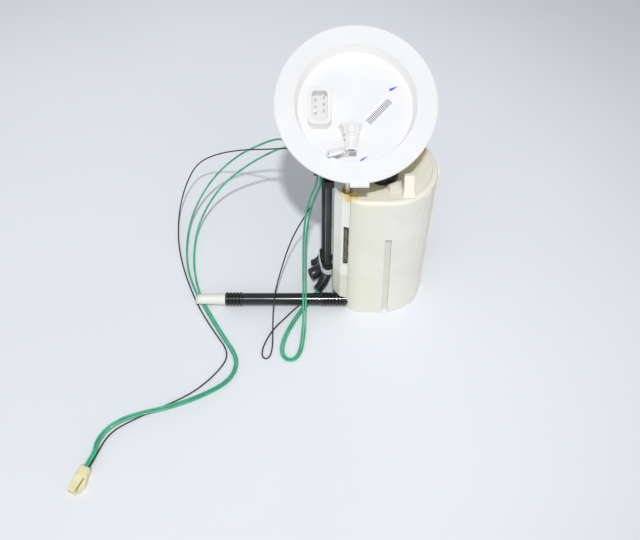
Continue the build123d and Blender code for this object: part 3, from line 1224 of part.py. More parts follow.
# ---------------------------------------------------------------- loose wires
GREEN_A_OUTER = [
    (-63, 16.3, 149.3), (-69.6, 18, 150.2), (-78, 28, 148), (-85.5, 50, 138),
    (-97, 71.5, 120.5), (-113, 80.5, 104), (-137.1, 93.7, 76), (-160.9, 96.8, 46),
    (-178, 89, 22), (-188.4, 69.1, 8), (-190.8, 41.9, 1.6), (-187.5, 13.4, 1.2),
    (-180.8, -6.7, 1.2), (-173.5, -22.7, 1.2), (-165.4, -37.8, 1.2), (-157.7, -51.8, 1.2),
    (-147.2, -69.6, 1.2), (-139.1, -82.1, 1.2), (-134.6, -93.5, 1.4), (-136, -104.9, 2),
    (-142.6, -116, 3), (-154.9, -125.7, 5), (-172.1, -136.7, 8.5), (-191.7, -145.4, 11),
    (-212.6, -151, 11.5), (-229.7, -156.3, 9.5), (-242.3, -164.3, 7), (-249.3, -176.1, 5.5),
    (-249.7, -184.9, 5), (-252.8, -192.3, 4.4), (-255.7, -199.2, 4.3),
]
GREEN_A_INNER = [
    (-63, 12.8, 149), (-69.3, 14.8, 149.5), (-76.3, 24, 146.6), (-82, 41, 138),
    (-90.5, 60.5, 120), (-105, 70.2, 103), (-129.6, 78.5, 76), (-154.3, 82, 46),
    (-171.7, 72.9, 22), (-181.2, 55.1, 7.5), (-182.6, 30.5, 1.6), (-180.7, 11.5, 1.2),
    (-176.6, -6.7, 1.2), (-171.5, -21.6, 1.2), (-163.4, -36.7, 1.2), (-155.7, -50.6, 1.2),
    (-145.2, -68.4, 1.2), (-137, -81.1, 1.2), (-132.3, -93.2, 1.4), (-133.8, -105.7, 2),
    (-140.9, -117.6, 3), (-153.6, -127.6, 5), (-171, -138.7, 8.5), (-191, -147.6, 11),
    (-212, -153.2, 11.5), (-228.8, -158.4, 9.5), (-240.7, -165.9, 7), (-247.3, -177.3, 5.5),
    (-247.7, -185.8, 5), (-250.8, -193.1, 4.4), (-253.8, -200, 4.3),
]
BLACK_A = [
    (-63, 20, 150), (-69.8, 21.9, 150.9), (-79.5, 29, 149.6), (-90, 40.5, 139),
    (-105.1, 59.9, 118), (-130.7, 82.2, 95), (-158.1, 99.4, 72), (-180.6, 108, 50),
    (-193, 101.2, 28), (-199.7, 87, 12), (-201.3, 65.9, 3), (-198.1, 38.6, 0.9),
    (-190.8, 11.3, 0.7), (-182.2, -11.7, 0.7), (-173.5, -31.7, 0.7), (-163.2, -50, 0.7),
    (-152.5, -66.8, 0.7), (-144.7, -78.3, 0.7), (-142.4, -89.1, 0.7), (-147.2, -99.7, 0.7),
    (-157.4, -112.8, 0.7), (-169.9, -124.7, 0.7), (-185.1, -134.3, 0.7), (-202.7, -143.2, 0.7),
    (-220, -152.6, 0.7), (-234.2, -161.4, 0.8), (-241.7, -170.9, 1.5), (-245.5, -182, 3),
    (-249.2, -193.8, 4.2), (-252.1, -200.7, 4.3),
]
GREEN_B_LEFT = [
    (-59.8, 5.3, 145), (-60.2, 5.6, 134.5), (-63.2, 7.8, 121), (-67.8, 10, 105),
    (-71.4, 9.1, 80), (-73.4, 7.4, 52), (-73.7, 0, 28), (-73.7, -13.8, 19.5),
    (-73.5, -24.5, 19.5), (-73.4, -36.5, 18.5), (-73.4, -47.5, 11), (-74, -58.4, 3),
    (-75.2, -71.9, 1.2), (-76.9, -83.2, 1.2), (-81.3, -90.6, 1.2), (-87.8, -90.9, 1.2),
    (-91.7, -84.4, 1.2), (-91, -74, 1.2), (-87.4, -62.9, 1.2), (-82.1, -51.5, 1.2),
    (-76, -40.4, 1.2), (-69.3, -31.2, 1.2), (-64.6, -25, 1.9), (-61.6, -22.9, 6.2),
    (-58.2, -18.8, 7.8),
]
GREEN_B_RIGHT = [
    (-56.3, 3.6, 145), (-56.6, 4.1, 134), (-60, 6.6, 119.5), (-64.4, 9.4, 103),
    (-68.4, 9.7, 78), (-71, 7.3, 52), (-71.3, -0, 28), (-71.3, -13.7, 19.5),
    (-71.1, -24.5, 19.5), (-71, -36.5, 18.5), (-71, -47.5, 11), (-71.6, -58.6, 3),
    (-72.8, -72.1, 1.2), (-74.7, -84, 1.2), (-79.9, -92.6, 1.2), (-89, -92.9, 1.2),
    (-94.1, -84.8, 1.2), (-93.4, -73.6, 1.2), (-89.6, -62.1, 1.2), (-84.3, -50.5, 1.2),
    (-78, -39.2, 1.2), (-71.3, -29.8, 1.2), (-66.6, -23.6, 1.9), (-63.6, -21.3, 6.2),
    (-60.2, -17.2, 7.8),
]
BLACK_B = [
    (-57.6, 7.6, 145), (-57, 6.9, 133), (-59.7, 9.8, 116), (-63.8, 14.1, 97),
    (-72, 13.2, 78), (-81.9, 9.6, 58), (-89.7, 0.2, 40), (-94.9, -11.9, 28),
    (-98.7, -22, 19.5), (-100.3, -33.8, 19), (-101.3, -43.5, 13.5), (-101.8, -54.5, 5),
    (-101.6, -67, 0.7), (-101.6, -78.5, 0.7), (-103, -86.9, 0.7), (-106.2, -90.8, 0.7),
    (-110, -89.4, 0.7), (-111.2, -84, 0.8), (-109.2, -75.8, 2.2), (-104.2, -66.3, 4.6),
    (-98.6, -57.4, 4.6), (-91, -46.5, 1.4), (-83.3, -36.8, 0.7), (-75.6, -29, 0.7),
    (-69, -23.4, 0.9), (-63.8, -20, 2.7), (-59.2, -18, 5.9),
]
for wire_label, wire_points, wire_radius in (
    ("wire_green_long_outer", GREEN_A_OUTER, GREEN_RADIUS),
    ("wire_green_long_inner", GREEN_A_INNER, GREEN_RADIUS),
    ("wire_black_long", BLACK_A, BLACK_RADIUS),
    ("wire_green_short_left", GREEN_B_LEFT, GREEN_RADIUS),
    ("wire_green_short_right", GREEN_B_RIGHT, GREEN_RADIUS),
    ("wire_black_short", BLACK_B, BLACK_RADIUS),
):
    pieces.append(cord(wire_label, wire_points, wire_radius))

os.makedirs("parts", exist_ok=True)
for piece in pieces:
    export_step(piece, f"parts/{piece.label}.step")
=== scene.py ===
"""Looks of the fuel pump module: camera, light, materials, the loose wires, and the pieces
that stand in for solids which bend, slant or give way."""
import json
import math

import bmesh
import bpy
from mathutils import Matrix, Vector, geometry


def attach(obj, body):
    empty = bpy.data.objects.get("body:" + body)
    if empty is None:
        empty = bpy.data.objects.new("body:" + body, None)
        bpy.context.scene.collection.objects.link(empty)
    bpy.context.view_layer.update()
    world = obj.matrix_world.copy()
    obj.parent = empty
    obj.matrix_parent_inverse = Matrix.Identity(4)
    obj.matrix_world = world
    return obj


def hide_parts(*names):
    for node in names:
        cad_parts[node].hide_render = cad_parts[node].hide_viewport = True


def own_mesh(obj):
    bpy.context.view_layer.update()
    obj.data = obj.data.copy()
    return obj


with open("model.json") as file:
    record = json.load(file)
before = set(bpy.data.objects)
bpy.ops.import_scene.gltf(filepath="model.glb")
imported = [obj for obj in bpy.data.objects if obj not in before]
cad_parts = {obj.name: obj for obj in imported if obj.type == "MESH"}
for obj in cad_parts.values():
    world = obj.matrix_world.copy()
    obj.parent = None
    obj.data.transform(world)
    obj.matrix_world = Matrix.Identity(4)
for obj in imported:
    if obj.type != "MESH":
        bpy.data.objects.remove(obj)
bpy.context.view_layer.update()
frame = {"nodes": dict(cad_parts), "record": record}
NODES = frame["nodes"]
MM = 0.001

# ------------------------------------------------------------ camera
CAMERA_AT = (-0.0578, -0.5456, 0.7317)
CAMERA_PITCH = 37.3             # degrees up from straight down
FOCAL_PIXELS = 940.0
FRAME_WIDTH = 640.0             # pixels
SENSOR = 36.0                   # mm
CLIP_START = 0.01

camera_data = bpy.data.cameras.new("camera")
camera_data.sensor_width = SENSOR
camera_data.lens = FOCAL_PIXELS / FRAME_WIDTH * SENSOR
camera_data.clip_start = CLIP_START
camera = bpy.data.objects.new("camera", camera_data)
camera.location = CAMERA_AT
camera.rotation_euler = (math.radians(CAMERA_PITCH), 0.0, 0.0)
bpy.context.scene.collection.objects.link(camera)
bpy.context.scene.camera = camera

# ------------------------------------------------------------ materials
EDGE = 0.0005                   # radius that the edges of moulded pieces seem to have
BEVEL_SAMPLES = 4
RELIEF_DEPTH = 0.0002           # of the finest grain
PATCH_RANGE = (0.3, 0.7)        # of the noise that runs from the dark tone to the light one
GLOSS_FINENESS = 3.0            # how much finer the patches of gloss are than those of tone
SPOT_NOISE = 180.0              # scale of the noise that makes a spot's edge uneven
STEEP_RANGE = (0.95, 0.45)      # cosines between which a face goes from square on to steep
FIRST_COLOR, SECOND_COLOR, MIXED_COLOR = 6, 7, 2    # sockets of a mix node


def srgb(red, green, blue):
    """Linear colour of an 8-bit screen colour."""
    def linear(value):
        value /= 255.0
        return value / 12.92 if value <= 0.04045 else ((value + 0.055) / 1.055) ** 2.4
    return (linear(red), linear(green), linear(blue), 1.0)


class Surface:
    """A principled material whose colour, roughness and bump come from noise."""

    def __init__(self, name, light, dark, rough=(0.35, 0.5), scale=60.0, grain=900.0,
                 bump=0.08, metallic=0.0, edge=0.0, coat=0.0):
        self.material = bpy.data.materials.new(name)
        self.material.use_nodes = True
        self.tree = self.material.node_tree
        self.shader = self.tree.nodes["Principled BSDF"]
        self.shader.inputs["Metallic"].default_value = metallic
        self.shader.inputs["Coat Weight"].default_value = coat
        self.place = self.node("ShaderNodeTexCoord").outputs["Object"]
        self.color = self.mix(self.noise(scale, detail=4.0), dark, light, *PATCH_RANGE)
        roughness = self.node("ShaderNodeMapRange")
        roughness.inputs["To Min"].default_value = rough[0]
        roughness.inputs["To Max"].default_value = rough[1]
        self.link(self.noise(scale * GLOSS_FINENESS), roughness.inputs["Value"])
        self.link(roughness.outputs["Result"], self.shader.inputs["Roughness"])
        relief = self.node("ShaderNodeBump")
        relief.inputs["Strength"].default_value = bump
        relief.inputs["Distance"].default_value = RELIEF_DEPTH
        self.link(self.noise(grain, detail=2.0), relief.inputs["Height"])
        if edge:
            rounded = self.node("ShaderNodeBevel")
            rounded.samples = BEVEL_SAMPLES
            rounded.inputs["Radius"].default_value = edge
            self.link(rounded.outputs["Normal"], relief.inputs["Normal"])
        self.link(relief.outputs["Normal"], self.shader.inputs["Normal"])
        self.link(self.color, self.shader.inputs["Base Color"])

    def node(self, kind):
        return self.tree.nodes.new(kind)

    def link(self, source, target):
        self.tree.links.new(source, target)

    def feed(self, socket, value):
        """Gives a socket another socket's value, or a plain one."""
        if isinstance(value, bpy.types.NodeSocket):
            self.link(value, socket)
        else:
            socket.default_value = value

    def noise(self, scale, detail=3.0):
        texture = self.node("ShaderNodeTexNoise")
        texture.inputs["Scale"].default_value = scale
        texture.inputs["Detail"].default_value = detail
        self.link(self.place, texture.inputs["Vector"])
        return texture.outputs["Fac"]

    def ramp(self, value, low, high):
        """0 at low, 1 at high, smooth between."""
        span = self.node("ShaderNodeMapRange")
        span.interpolation_type = "SMOOTHSTEP"
        span.inputs["From Min"].default_value = low
        span.inputs["From Max"].default_value = high
        self.link(value, span.inputs["Value"])
        return span.outputs["Result"]

    def mix(self, factor, first, second, low=0.0, high=1.0):
        """first where the factor is low, second where it is high; either may be a socket."""
        blend = self.node("ShaderNodeMix")
        blend.data_type = "RGBA"
        self.link(self.ramp(factor, low, high), blend.inputs["Factor"])
        self.feed(blend.inputs[FIRST_COLOR], first)
        self.feed(blend.inputs[SECOND_COLOR], second)
        return blend.outputs[MIXED_COLOR]

    def math(self, operation, first, second=0.0):
        step = self.node("ShaderNodeMath")
        step.operation = operation
        self.feed(step.inputs[0], first)
        self.feed(step.inputs[1], second)
        return step.outputs[0]

    def level(self, axis, limits):
        """0 at the first of two limits along an axis of the part, 1 at the second."""
        split = self.node("ShaderNodeSeparateXYZ")
        self.link(self.place, split.inputs["Vector"])
        return self.ramp(split.outputs[axis], *limits)

    def steep(self, normal):
        """0 where a face looks along a direction of the part, 1 where it is far off it."""
        turned = self.node("ShaderNodeVectorTransform")
        turned.vector_type = "NORMAL"
        turned.convert_from, turned.convert_to = "WORLD", "OBJECT"
        self.link(self.node("ShaderNodeNewGeometry").outputs["True Normal"], turned.inputs[0])
        facing = self.node("ShaderNodeVectorMath")
        facing.operation = "DOT_PRODUCT"
        facing.inputs[1].default_value = normal
        self.link(turned.outputs[0], facing.inputs[0])
        return self.ramp(self.math("ABSOLUTE", facing.outputs["Value"]), *STEEP_RANGE)

    def near(self, point, radius, soft, wobble=0.0):
        """1 close to a point of the part as it stands at rest, 0 far from it."""
        gap = self.node("ShaderNodeVectorMath")
        gap.operation = "DISTANCE"
        gap.inputs[1].default_value = point
        self.link(self.place, gap.inputs[0])
        distance = gap.outputs["Value"]
        if wobble:
            uneven = self.math("MULTIPLY", self.noise(SPOT_NOISE), wobble)
            distance = self.math("ADD", distance, uneven)
        return self.math("SUBTRACT", 1.0, self.ramp(distance, radius - soft, radius + soft))

    def paint(self, factor, color, share=None):
        """Lays a colour over what is there, or a share of it."""
        if share is not None:
            factor = self.math("MULTIPLY", factor, share)
        self.color = self.mix(factor, self.color, color)
        self.link(self.color, self.shader.inputs["Base Color"])


surfaces = {}


def surface(name, *args, **kwargs):
    surfaces[name] = Surface(name, *args, **kwargs)
    return surfaces[name]


# Each surface has a light and a dark tone, a range of roughness, the scale of its patches and,
# where it isn't the usual one, the scale of its grain.
pot = surface("pot_plastic", srgb(229, 227, 219), srgb(222, 220, 209), (0.38, 0.52), 28.0,
              edge=EDGE)
flange_white = surface("flange_plastic", srgb(217, 217, 218), srgb(213, 213, 214),
                       (0.42, 0.55), 22.0, edge=EDGE)
bracket = surface("bracket_plastic", srgb(238, 238, 230), srgb(232, 232, 223), (0.4, 0.55), 26.0,
                  edge=EDGE)
rod = surface("rod_steel", srgb(240, 236, 220), srgb(228, 223, 206), (0.2, 0.34), 120.0,
              metallic=0.15)
surface("pump_black", srgb(34, 34, 36), srgb(22, 22, 24), (0.35, 0.6), 50.0, edge=EDGE)
surface("cap_black", srgb(30, 30, 32), srgb(18, 18, 20), (0.22, 0.4), 50.0, edge=EDGE)
surface("pipe_black", srgb(26, 28, 30), srgb(14, 15, 17), (0.12, 0.26), 40.0, bump=0.04,
        coat=0.3)
surface("line_black", srgb(46, 49, 52), srgb(28, 30, 32), (0.24, 0.4), 60.0, bump=0.05,
        coat=0.2)
surface("nozzle_plastic", srgb(226, 226, 217), srgb(216, 216, 206), (0.4, 0.55), 60.0,
        edge=EDGE)
surface("plug_plastic", srgb(234, 228, 188), srgb(222, 214, 168), (0.35, 0.5), 120.0,
        edge=EDGE)
surface("strap_nylon", srgb(214, 214, 212), srgb(198, 198, 196), (0.35, 0.5), 120.0,
        edge=EDGE)
surface("pin_tin", srgb(226, 226, 222), srgb(200, 200, 196), (0.25, 0.4), 200.0, metallic=0.8)
surface("isolator_rubber", srgb(40, 40, 40), srgb(26, 26, 26), (0.6, 0.8), 90.0, bump=0.2)
surface("valve_rubber", srgb(52, 52, 52), srgb(36, 36, 36), (0.6, 0.8), 90.0, bump=0.2)
surface("float_foam", srgb(44, 44, 46), srgb(24, 24, 26), (0.7, 0.9), 400.0, 1500.0, bump=0.6,
        edge=EDGE)
surface("strainer_mesh", srgb(226, 222, 205), srgb(196, 190, 170), (0.7, 0.9), 700.0, 2400.0,
        bump=0.7)
surface("magnet_ferrite", srgb(70, 68, 66), srgb(50, 48, 46), (0.6, 0.8), 200.0, bump=0.3)
surface("can_steel", srgb(190, 190, 190), srgb(160, 160, 160), (0.25, 0.45), 90.0, metallic=1.0)
surface("armature_steel", srgb(170, 168, 165), srgb(130, 128, 126), (0.3, 0.5), 120.0,
        metallic=1.0)
surface("spring_steel", srgb(134, 132, 120), srgb(112, 110, 100), (0.5, 0.65), 200.0,
        metallic=0.4)
surface("regulator_metal", srgb(200, 200, 198), srgb(170, 170, 168), (0.3, 0.5), 90.0,
        metallic=1.0)
surface("card_brass", srgb(214, 178, 104), srgb(184, 148, 80), (0.25, 0.4), 200.0, metallic=1.0)
surface("label_film", srgb(221, 221, 222), srgb(217, 217, 218), (0.3, 0.4), 60.0, bump=0.03)
surface("wire_green", srgb(64, 186, 140), srgb(44, 156, 116), (0.28, 0.42), 90.0, bump=0.05,
        coat=0.2)
surface("wire_black", srgb(34, 36, 36), srgb(22, 24, 24), (0.3, 0.45), 90.0, bump=0.05)
surface("ink_grey", srgb(100, 98, 98), srgb(74, 72, 72), (0.5, 0.7), 900.0)
surface("ink_blue", srgb(52, 110, 226), srgb(74, 66, 196), (0.4, 0.6), 260.0)

# Tones that lie over these set in between two places along an axis, in metres.
SHOULDER = (0.150, 0.155)
DECK = (0.1572, 0.1579)
LEFT_SIDE = (0.004, -0.014)
BRACKET_FOOT_SHADE_AND_TINT = (0.0515, 0.0495)
ROD_SHADE_BELOW = (0.150, 0.144)
LEFT_PATCHES = 40.0             # scale of the noise that breaks up the tone on the left
# Round ones: centre, radius, softness and unevenness, in metres.
# Painted shadow: the round patch where the flange's shadow falls on the deck at rest.
PAINTED_FLANGE_SHADOW = ((-0.0459, 0.0532, 0.158), 0.0885, 0.003)
DECK_STAIN = ((-0.0312, -0.0328, 0.158), 0.0078, 0.0035, 0.006)
STAIN_MIDDLE = ((-0.0322, -0.0322, 0.158), 0.0050, 0.0025, 0.006)
BRACKET_STAIN = ((-0.033, -0.028, 0.158), 0.011, 0.006, 0.006)
FLANGE_TILT = math.radians(28.1)
FLANGE_UP = (0.0, -math.sin(FLANGE_TILT), math.cos(FLANGE_TILT))

pot.paint(pot.level("Z", SHOULDER), srgb(228, 226, 208), share=0.5)
on_deck = pot.level("Z", DECK)
pot.paint(on_deck, srgb(222, 218, 204))
on_left = pot.math("MULTIPLY", pot.level("X", LEFT_SIDE), pot.noise(LEFT_PATCHES))
pot.paint(on_left, srgb(228, 227, 204))
# Painted shadow of the flange on the deck, in olive; it stays on the pot when the flange moves.
painted_deck_shadow = pot.math("MULTIPLY", on_deck, pot.near(*PAINTED_FLANGE_SHADOW))
pot.paint(painted_deck_shadow, srgb(206, 196, 150), share=0.75)
pot.paint(pot.near(*DECK_STAIN), srgb(222, 200, 132))
pot.paint(pot.near(*STAIN_MIDDLE), srgb(214, 180, 92))
# Painted light: faces that stand steep to the flange's face, such as the walls of its recess,
# are painted near white so that they look as bright as the lit face.
flange_white.paint(flange_white.steep(FLANGE_UP), srgb(250, 249, 247))
# Painted shade with a beige tone: the bracket is darker and beiger below about 50 mm.
bracket.paint(bracket.level("Z", BRACKET_FOOT_SHADE_AND_TINT), srgb(214, 212, 196), share=0.7)
bracket.paint(bracket.near(*BRACKET_STAIN), srgb(222, 196, 112))
# Painted shade: the rod is painted dark below about 150 mm, where it runs down into the pot.
rod.paint(rod.level("Z", ROD_SHADE_BELOW), srgb(128, 126, 112))

SLOTS = {entry["node"]: entry["material_slot"] for entry in frame["record"]["subparts"]}
for solid, finish_name in SLOTS.items():
    for material_slot in NODES[solid].material_slots:
        material_slot.material = surfaces[finish_name].material

# ------------------------------------------------------------ loose wires
GREEN_A_OUTER = [
    (-0.063, 0.0163, 0.1493), (-0.0696, 0.018, 0.1502), (-0.078, 0.028, 0.148),
    (-0.0855, 0.05, 0.138), (-0.097, 0.0715, 0.1205), (-0.113, 0.0805, 0.104),
    (-0.1371, 0.0937, 0.076), (-0.1609, 0.0968, 0.046), (-0.178, 0.089, 0.022),
    (-0.1884, 0.0691, 0.008), (-0.1908, 0.0419, 0.0016), (-0.1875, 0.0134, 0.0012),
    (-0.1808, -0.0067, 0.0012), (-0.1735, -0.0227, 0.0012), (-0.1654, -0.0378, 0.0012),
    (-0.1577, -0.0518, 0.0012), (-0.1472, -0.0696, 0.0012), (-0.1391, -0.0821, 0.0012),
    (-0.1346, -0.0935, 0.0014), (-0.136, -0.1049, 0.002), (-0.1426, -0.116, 0.003),
    (-0.1549, -0.1257, 0.005), (-0.1721, -0.1367, 0.0085), (-0.1917, -0.1454, 0.011),
    (-0.2126, -0.151, 0.0115), (-0.2297, -0.1563, 0.0095), (-0.2423, -0.1643, 0.007),
    (-0.2493, -0.1761, 0.0055), (-0.2497, -0.1849, 0.005), (-0.2528, -0.1923, 0.0044),
    (-0.2557, -0.1992, 0.0043),
]

GREEN_A_INNER = [
    (-0.063, 0.0128, 0.149), (-0.0693, 0.0148, 0.1495), (-0.0763, 0.024, 0.1466),
    (-0.082, 0.041, 0.138), (-0.0905, 0.0605, 0.12), (-0.105, 0.0702, 0.103),
    (-0.1296, 0.0785, 0.076), (-0.1543, 0.082, 0.046), (-0.1717, 0.0729, 0.022),
    (-0.1812, 0.0551, 0.0075), (-0.1826, 0.0305, 0.0016), (-0.1807, 0.0115, 0.0012),
    (-0.1766, -0.0067, 0.0012), (-0.1715, -0.0216, 0.0012), (-0.1634, -0.0367, 0.0012),
    (-0.1557, -0.0506, 0.0012), (-0.1452, -0.0684, 0.0012), (-0.137, -0.0811, 0.0012),
    (-0.1323, -0.0932, 0.0014), (-0.1338, -0.1057, 0.002), (-0.1409, -0.1176, 0.003),
    (-0.1536, -0.1276, 0.005), (-0.171, -0.1387, 0.0085), (-0.191, -0.1476, 0.011),
    (-0.212, -0.1532, 0.0115), (-0.2288, -0.1584, 0.0095), (-0.2407, -0.1659, 0.007),
    (-0.2473, -0.1773, 0.0055), (-0.2477, -0.1858, 0.005), (-0.2508, -0.1931, 0.0044),
    (-0.2538, -0.2, 0.0043),
]

BLACK_A = [
    (-0.063, 0.02, 0.15), (-0.0698, 0.0219, 0.1509), (-0.0795, 0.029, 0.1496),
    (-0.09, 0.0405, 0.139), (-0.1051, 0.0599, 0.118), (-0.1307, 0.0822, 0.095),
    (-0.1581, 0.0994, 0.072), (-0.1806, 0.108, 0.05), (-0.193, 0.1012, 0.028),
    (-0.1997, 0.087, 0.012), (-0.2013, 0.0659, 0.003), (-0.1981, 0.0386, 0.0009),
    (-0.1908, 0.0113, 0.0007), (-0.1822, -0.0117, 0.0007), (-0.1735, -0.0317, 0.0007),
    (-0.1632, -0.05, 0.0007), (-0.1525, -0.0668, 0.0007), (-0.1447, -0.0783, 0.0007),
    (-0.1424, -0.0891, 0.0007), (-0.1472, -0.0997, 0.0007), (-0.1574, -0.1128, 0.0007),
    (-0.1699, -0.1247, 0.0007), (-0.1851, -0.1343, 0.0007), (-0.2027, -0.1432, 0.0007),
    (-0.22, -0.1526, 0.0007), (-0.2342, -0.1614, 0.0008), (-0.2417, -0.1709, 0.0015),
    (-0.2455, -0.182, 0.003), (-0.2492, -0.1938, 0.0042), (-0.2521, -0.2007, 0.0043),
]

GREEN_B_LEFT = [
    (-0.0598, 0.0053, 0.145), (-0.0602, 0.0056, 0.1345), (-0.0632, 0.0078, 0.121),
    (-0.0678, 0.01, 0.105), (-0.0714, 0.0091, 0.08), (-0.0734, 0.0074, 0.052),
    (-0.0737, 0.0, 0.028), (-0.0737, -0.0138, 0.0195), (-0.0735, -0.0245, 0.0195),
    (-0.0734, -0.0365, 0.0185), (-0.0734, -0.0475, 0.011), (-0.074, -0.0584, 0.003),
    (-0.0752, -0.0719, 0.0012), (-0.0769, -0.0832, 0.0012), (-0.0813, -0.0906, 0.0012),
    (-0.0878, -0.0909, 0.0012), (-0.0917, -0.0844, 0.0012), (-0.091, -0.074, 0.0012),
    (-0.0874, -0.0629, 0.0012), (-0.0821, -0.0515, 0.0012), (-0.076, -0.0404, 0.0012),
    (-0.0693, -0.0312, 0.0012), (-0.0646, -0.025, 0.0019), (-0.0616, -0.0229, 0.0062),
    (-0.0582, -0.0188, 0.0078),
]

GREEN_B_RIGHT = [
    (-0.0563, 0.0036, 0.145), (-0.0566, 0.0041, 0.134), (-0.06, 0.0066, 0.1195),
    (-0.0644, 0.0094, 0.103), (-0.0684, 0.0097, 0.078), (-0.071, 0.0073, 0.052),
    (-0.0713, 0.0, 0.028), (-0.0713, -0.0137, 0.0195), (-0.0711, -0.0245, 0.0195),
    (-0.071, -0.0365, 0.0185), (-0.071, -0.0475, 0.011), (-0.0716, -0.0586, 0.003),
    (-0.0728, -0.0721, 0.0012), (-0.0747, -0.084, 0.0012), (-0.0799, -0.0926, 0.0012),
    (-0.089, -0.0929, 0.0012), (-0.0941, -0.0848, 0.0012), (-0.0934, -0.0736, 0.0012),
    (-0.0896, -0.0621, 0.0012), (-0.0843, -0.0505, 0.0012), (-0.078, -0.0392, 0.0012),
    (-0.0713, -0.0298, 0.0012), (-0.0666, -0.0236, 0.0019), (-0.0636, -0.0213, 0.0062),
    (-0.0602, -0.0172, 0.0078),
]

BLACK_B = [
    (-0.0576, 0.0076, 0.145), (-0.057, 0.0069, 0.133), (-0.0597, 0.0098, 0.116),
    (-0.0638, 0.0141, 0.097), (-0.072, 0.0132, 0.078), (-0.0819, 0.0096, 0.058),
    (-0.0897, 0.0002, 0.04), (-0.0949, -0.0119, 0.028), (-0.0987, -0.022, 0.0195),
    (-0.1003, -0.0338, 0.019), (-0.1013, -0.0435, 0.0135), (-0.1018, -0.0545, 0.005),
    (-0.1016, -0.067, 0.0007), (-0.1016, -0.0785, 0.0007), (-0.103, -0.0869, 0.0007),
    (-0.1062, -0.0908, 0.0007), (-0.11, -0.0894, 0.0007), (-0.1112, -0.084, 0.0008),
    (-0.1092, -0.0758, 0.0022), (-0.1042, -0.0663, 0.0046), (-0.0986, -0.0574, 0.0046),
    (-0.091, -0.0465, 0.0014), (-0.0833, -0.0368, 0.0007), (-0.0756, -0.029, 0.0007),
    (-0.069, -0.0234, 0.0009), (-0.0638, -0.02, 0.0027), (-0.0592, -0.018, 0.0059),
]

GREEN_DIAMETER = 0.0019
BLACK_DIAMETER = 0.0013
WIRE_ORDER = 3                  # of the NURBS line, which stays close to its route
WIRE_STEPS = 8                  # of the line from one place of its route to the next
WIRE_ROUNDNESS = 3              # bevel resolution


def wire(name, points, diameter, finish):
    """A plain wire on one smooth line through the route."""
    curve = bpy.data.curves.new(name, "CURVE")
    curve.dimensions = "3D"
    spline = curve.splines.new("NURBS")
    spline.points.add(len(points) - 1)
    for control, place in zip(spline.points, points):
        control.co = (*place, 1.0)
    spline.order_u = WIRE_ORDER
    spline.use_endpoint_u = True
    curve.resolution_u = WIRE_STEPS
    curve.bevel_depth = diameter / 2.0
    curve.bevel_resolution = WIRE_ROUNDNESS
    curve.use_fill_caps = True
    curve.materials.append(surfaces[finish].material)
    piece = bpy.data.objects.new(name, curve)
    bpy.context.scene.collection.objects.link(piece)
    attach(piece, "pot")
    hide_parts(name.replace("loose_", "wire_"))


wire("loose_green_long_outer", GREEN_A_OUTER, GREEN_DIAMETER, "wire_green")
wire("loose_green_long_inner", GREEN_A_INNER, GREEN_DIAMETER, "wire_green")
wire("loose_black_long", BLACK_A, BLACK_DIAMETER, "wire_black")
wire("loose_green_short_left", GREEN_B_LEFT, GREEN_DIAMETER, "wire_green")
wire("loose_green_short_right", GREEN_B_RIGHT, GREEN_DIAMETER, "wire_green")
wire("loose_black_short", BLACK_B, BLACK_DIAMETER, "wire_black")


# ------------------------------------------------------------ building of meshes
def skin(build, rings):
    """Joins each ring of corners to the next, and closes both ends."""
    for lower, upper in zip(rings, rings[1:]):
        for corner in range(len(lower)):
            after = (corner + 1) % len(lower)
            build.faces.new((lower[corner], lower[after], upper[after], upper[corner]))
    build.faces.new(rings[0])
    build.faces.new(rings[-1])


def piece_from(build, name, finish):
    """A piece in the scene from a bmesh, with its faces turned outwards."""
    bmesh.ops.recalc_face_normals(build, faces=build.faces)
    mesh = bpy.data.meshes.new(name)
    build.to_mesh(mesh)
    build.free()
    mesh.materials.append(surfaces[finish].material)
    piece = bpy.data.objects.new(name, mesh)
    bpy.context.scene.collection.objects.link(piece)
    return piece


# ------------------------------------------------------------ clip plate of the lines
CLIP_OUTLINE = ((-45.8, -12.4), (-45.8, 22.4), (-63.0, 22.4),
                (-63.0, 2.0), (-54.6, 2.0), (-54.6, -12.4))
CLIP_HEIGHTS = (145.0, 152.0)


def clip_plate():
    """An angled plate that holds the upright lines and leaves the short wires free in front."""
    build = bmesh.new()
    skin(build, [[build.verts.new(Vector((x, y, height)) * MM) for x, y in CLIP_OUTLINE]
                 for height in CLIP_HEIGHTS])
    piece = piece_from(build, "clip_plate", "pump_black")
    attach(piece, "pot")
    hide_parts("harness_clip")


clip_plate()


def yielding(node):
    """A copy of a part that shortens from the top when the carrier comes down on it, attached to
    the pot in place of the part.
    """
    piece = bpy.data.objects.new("yielding_" + node, NODES[node].data.copy())
    bpy.context.scene.collection.objects.link(piece)
    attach(piece, "pot")
    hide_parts(node)
    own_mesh(piece)


for soft_node in ("guide_spring_front", "guide_spring_rear", "feed_line", "breather_line",
                  "wire_riser"):
    yielding(soft_node)

# ------------------------------------------------------------ sleeves and strap of the lines
# Mouth, bend and top of each sleeve, its radius, and the depth and spacing of its ribs, in mm.
SLEEVES = {
    "feed_sleeve": (((-66.8, -4.2, 13.6), (-53.6, 2.2, 15.0), (-51.9, 2.2, 34.0)),
                    6.0, 0.0, 2.6),
    "breather_sleeve": (((-66.2, 8.6, 15.4), (-56.5, 9.7, 17.0), (-54.6, 9.7, 34.0)),
                        3.3, 0.9, 2.8),
    "wire_sleeve": (((-60.8, -18.0, 7.7), (-51.6, -8.4, 11.5), (-50.9, -8.0, 34.0)),
                    4.9, 1.1, 3.0),
}
SLEEVE_SIDES = 28
SLEEVE_STEPS = 120
SLEEVE_WALL = 1.2
MOUTH_DEPTH = 5.0               # how far the open end is hollow
RIB_SHARPNESS = 0.6             # below 1 the ribs are broad and the grooves narrow


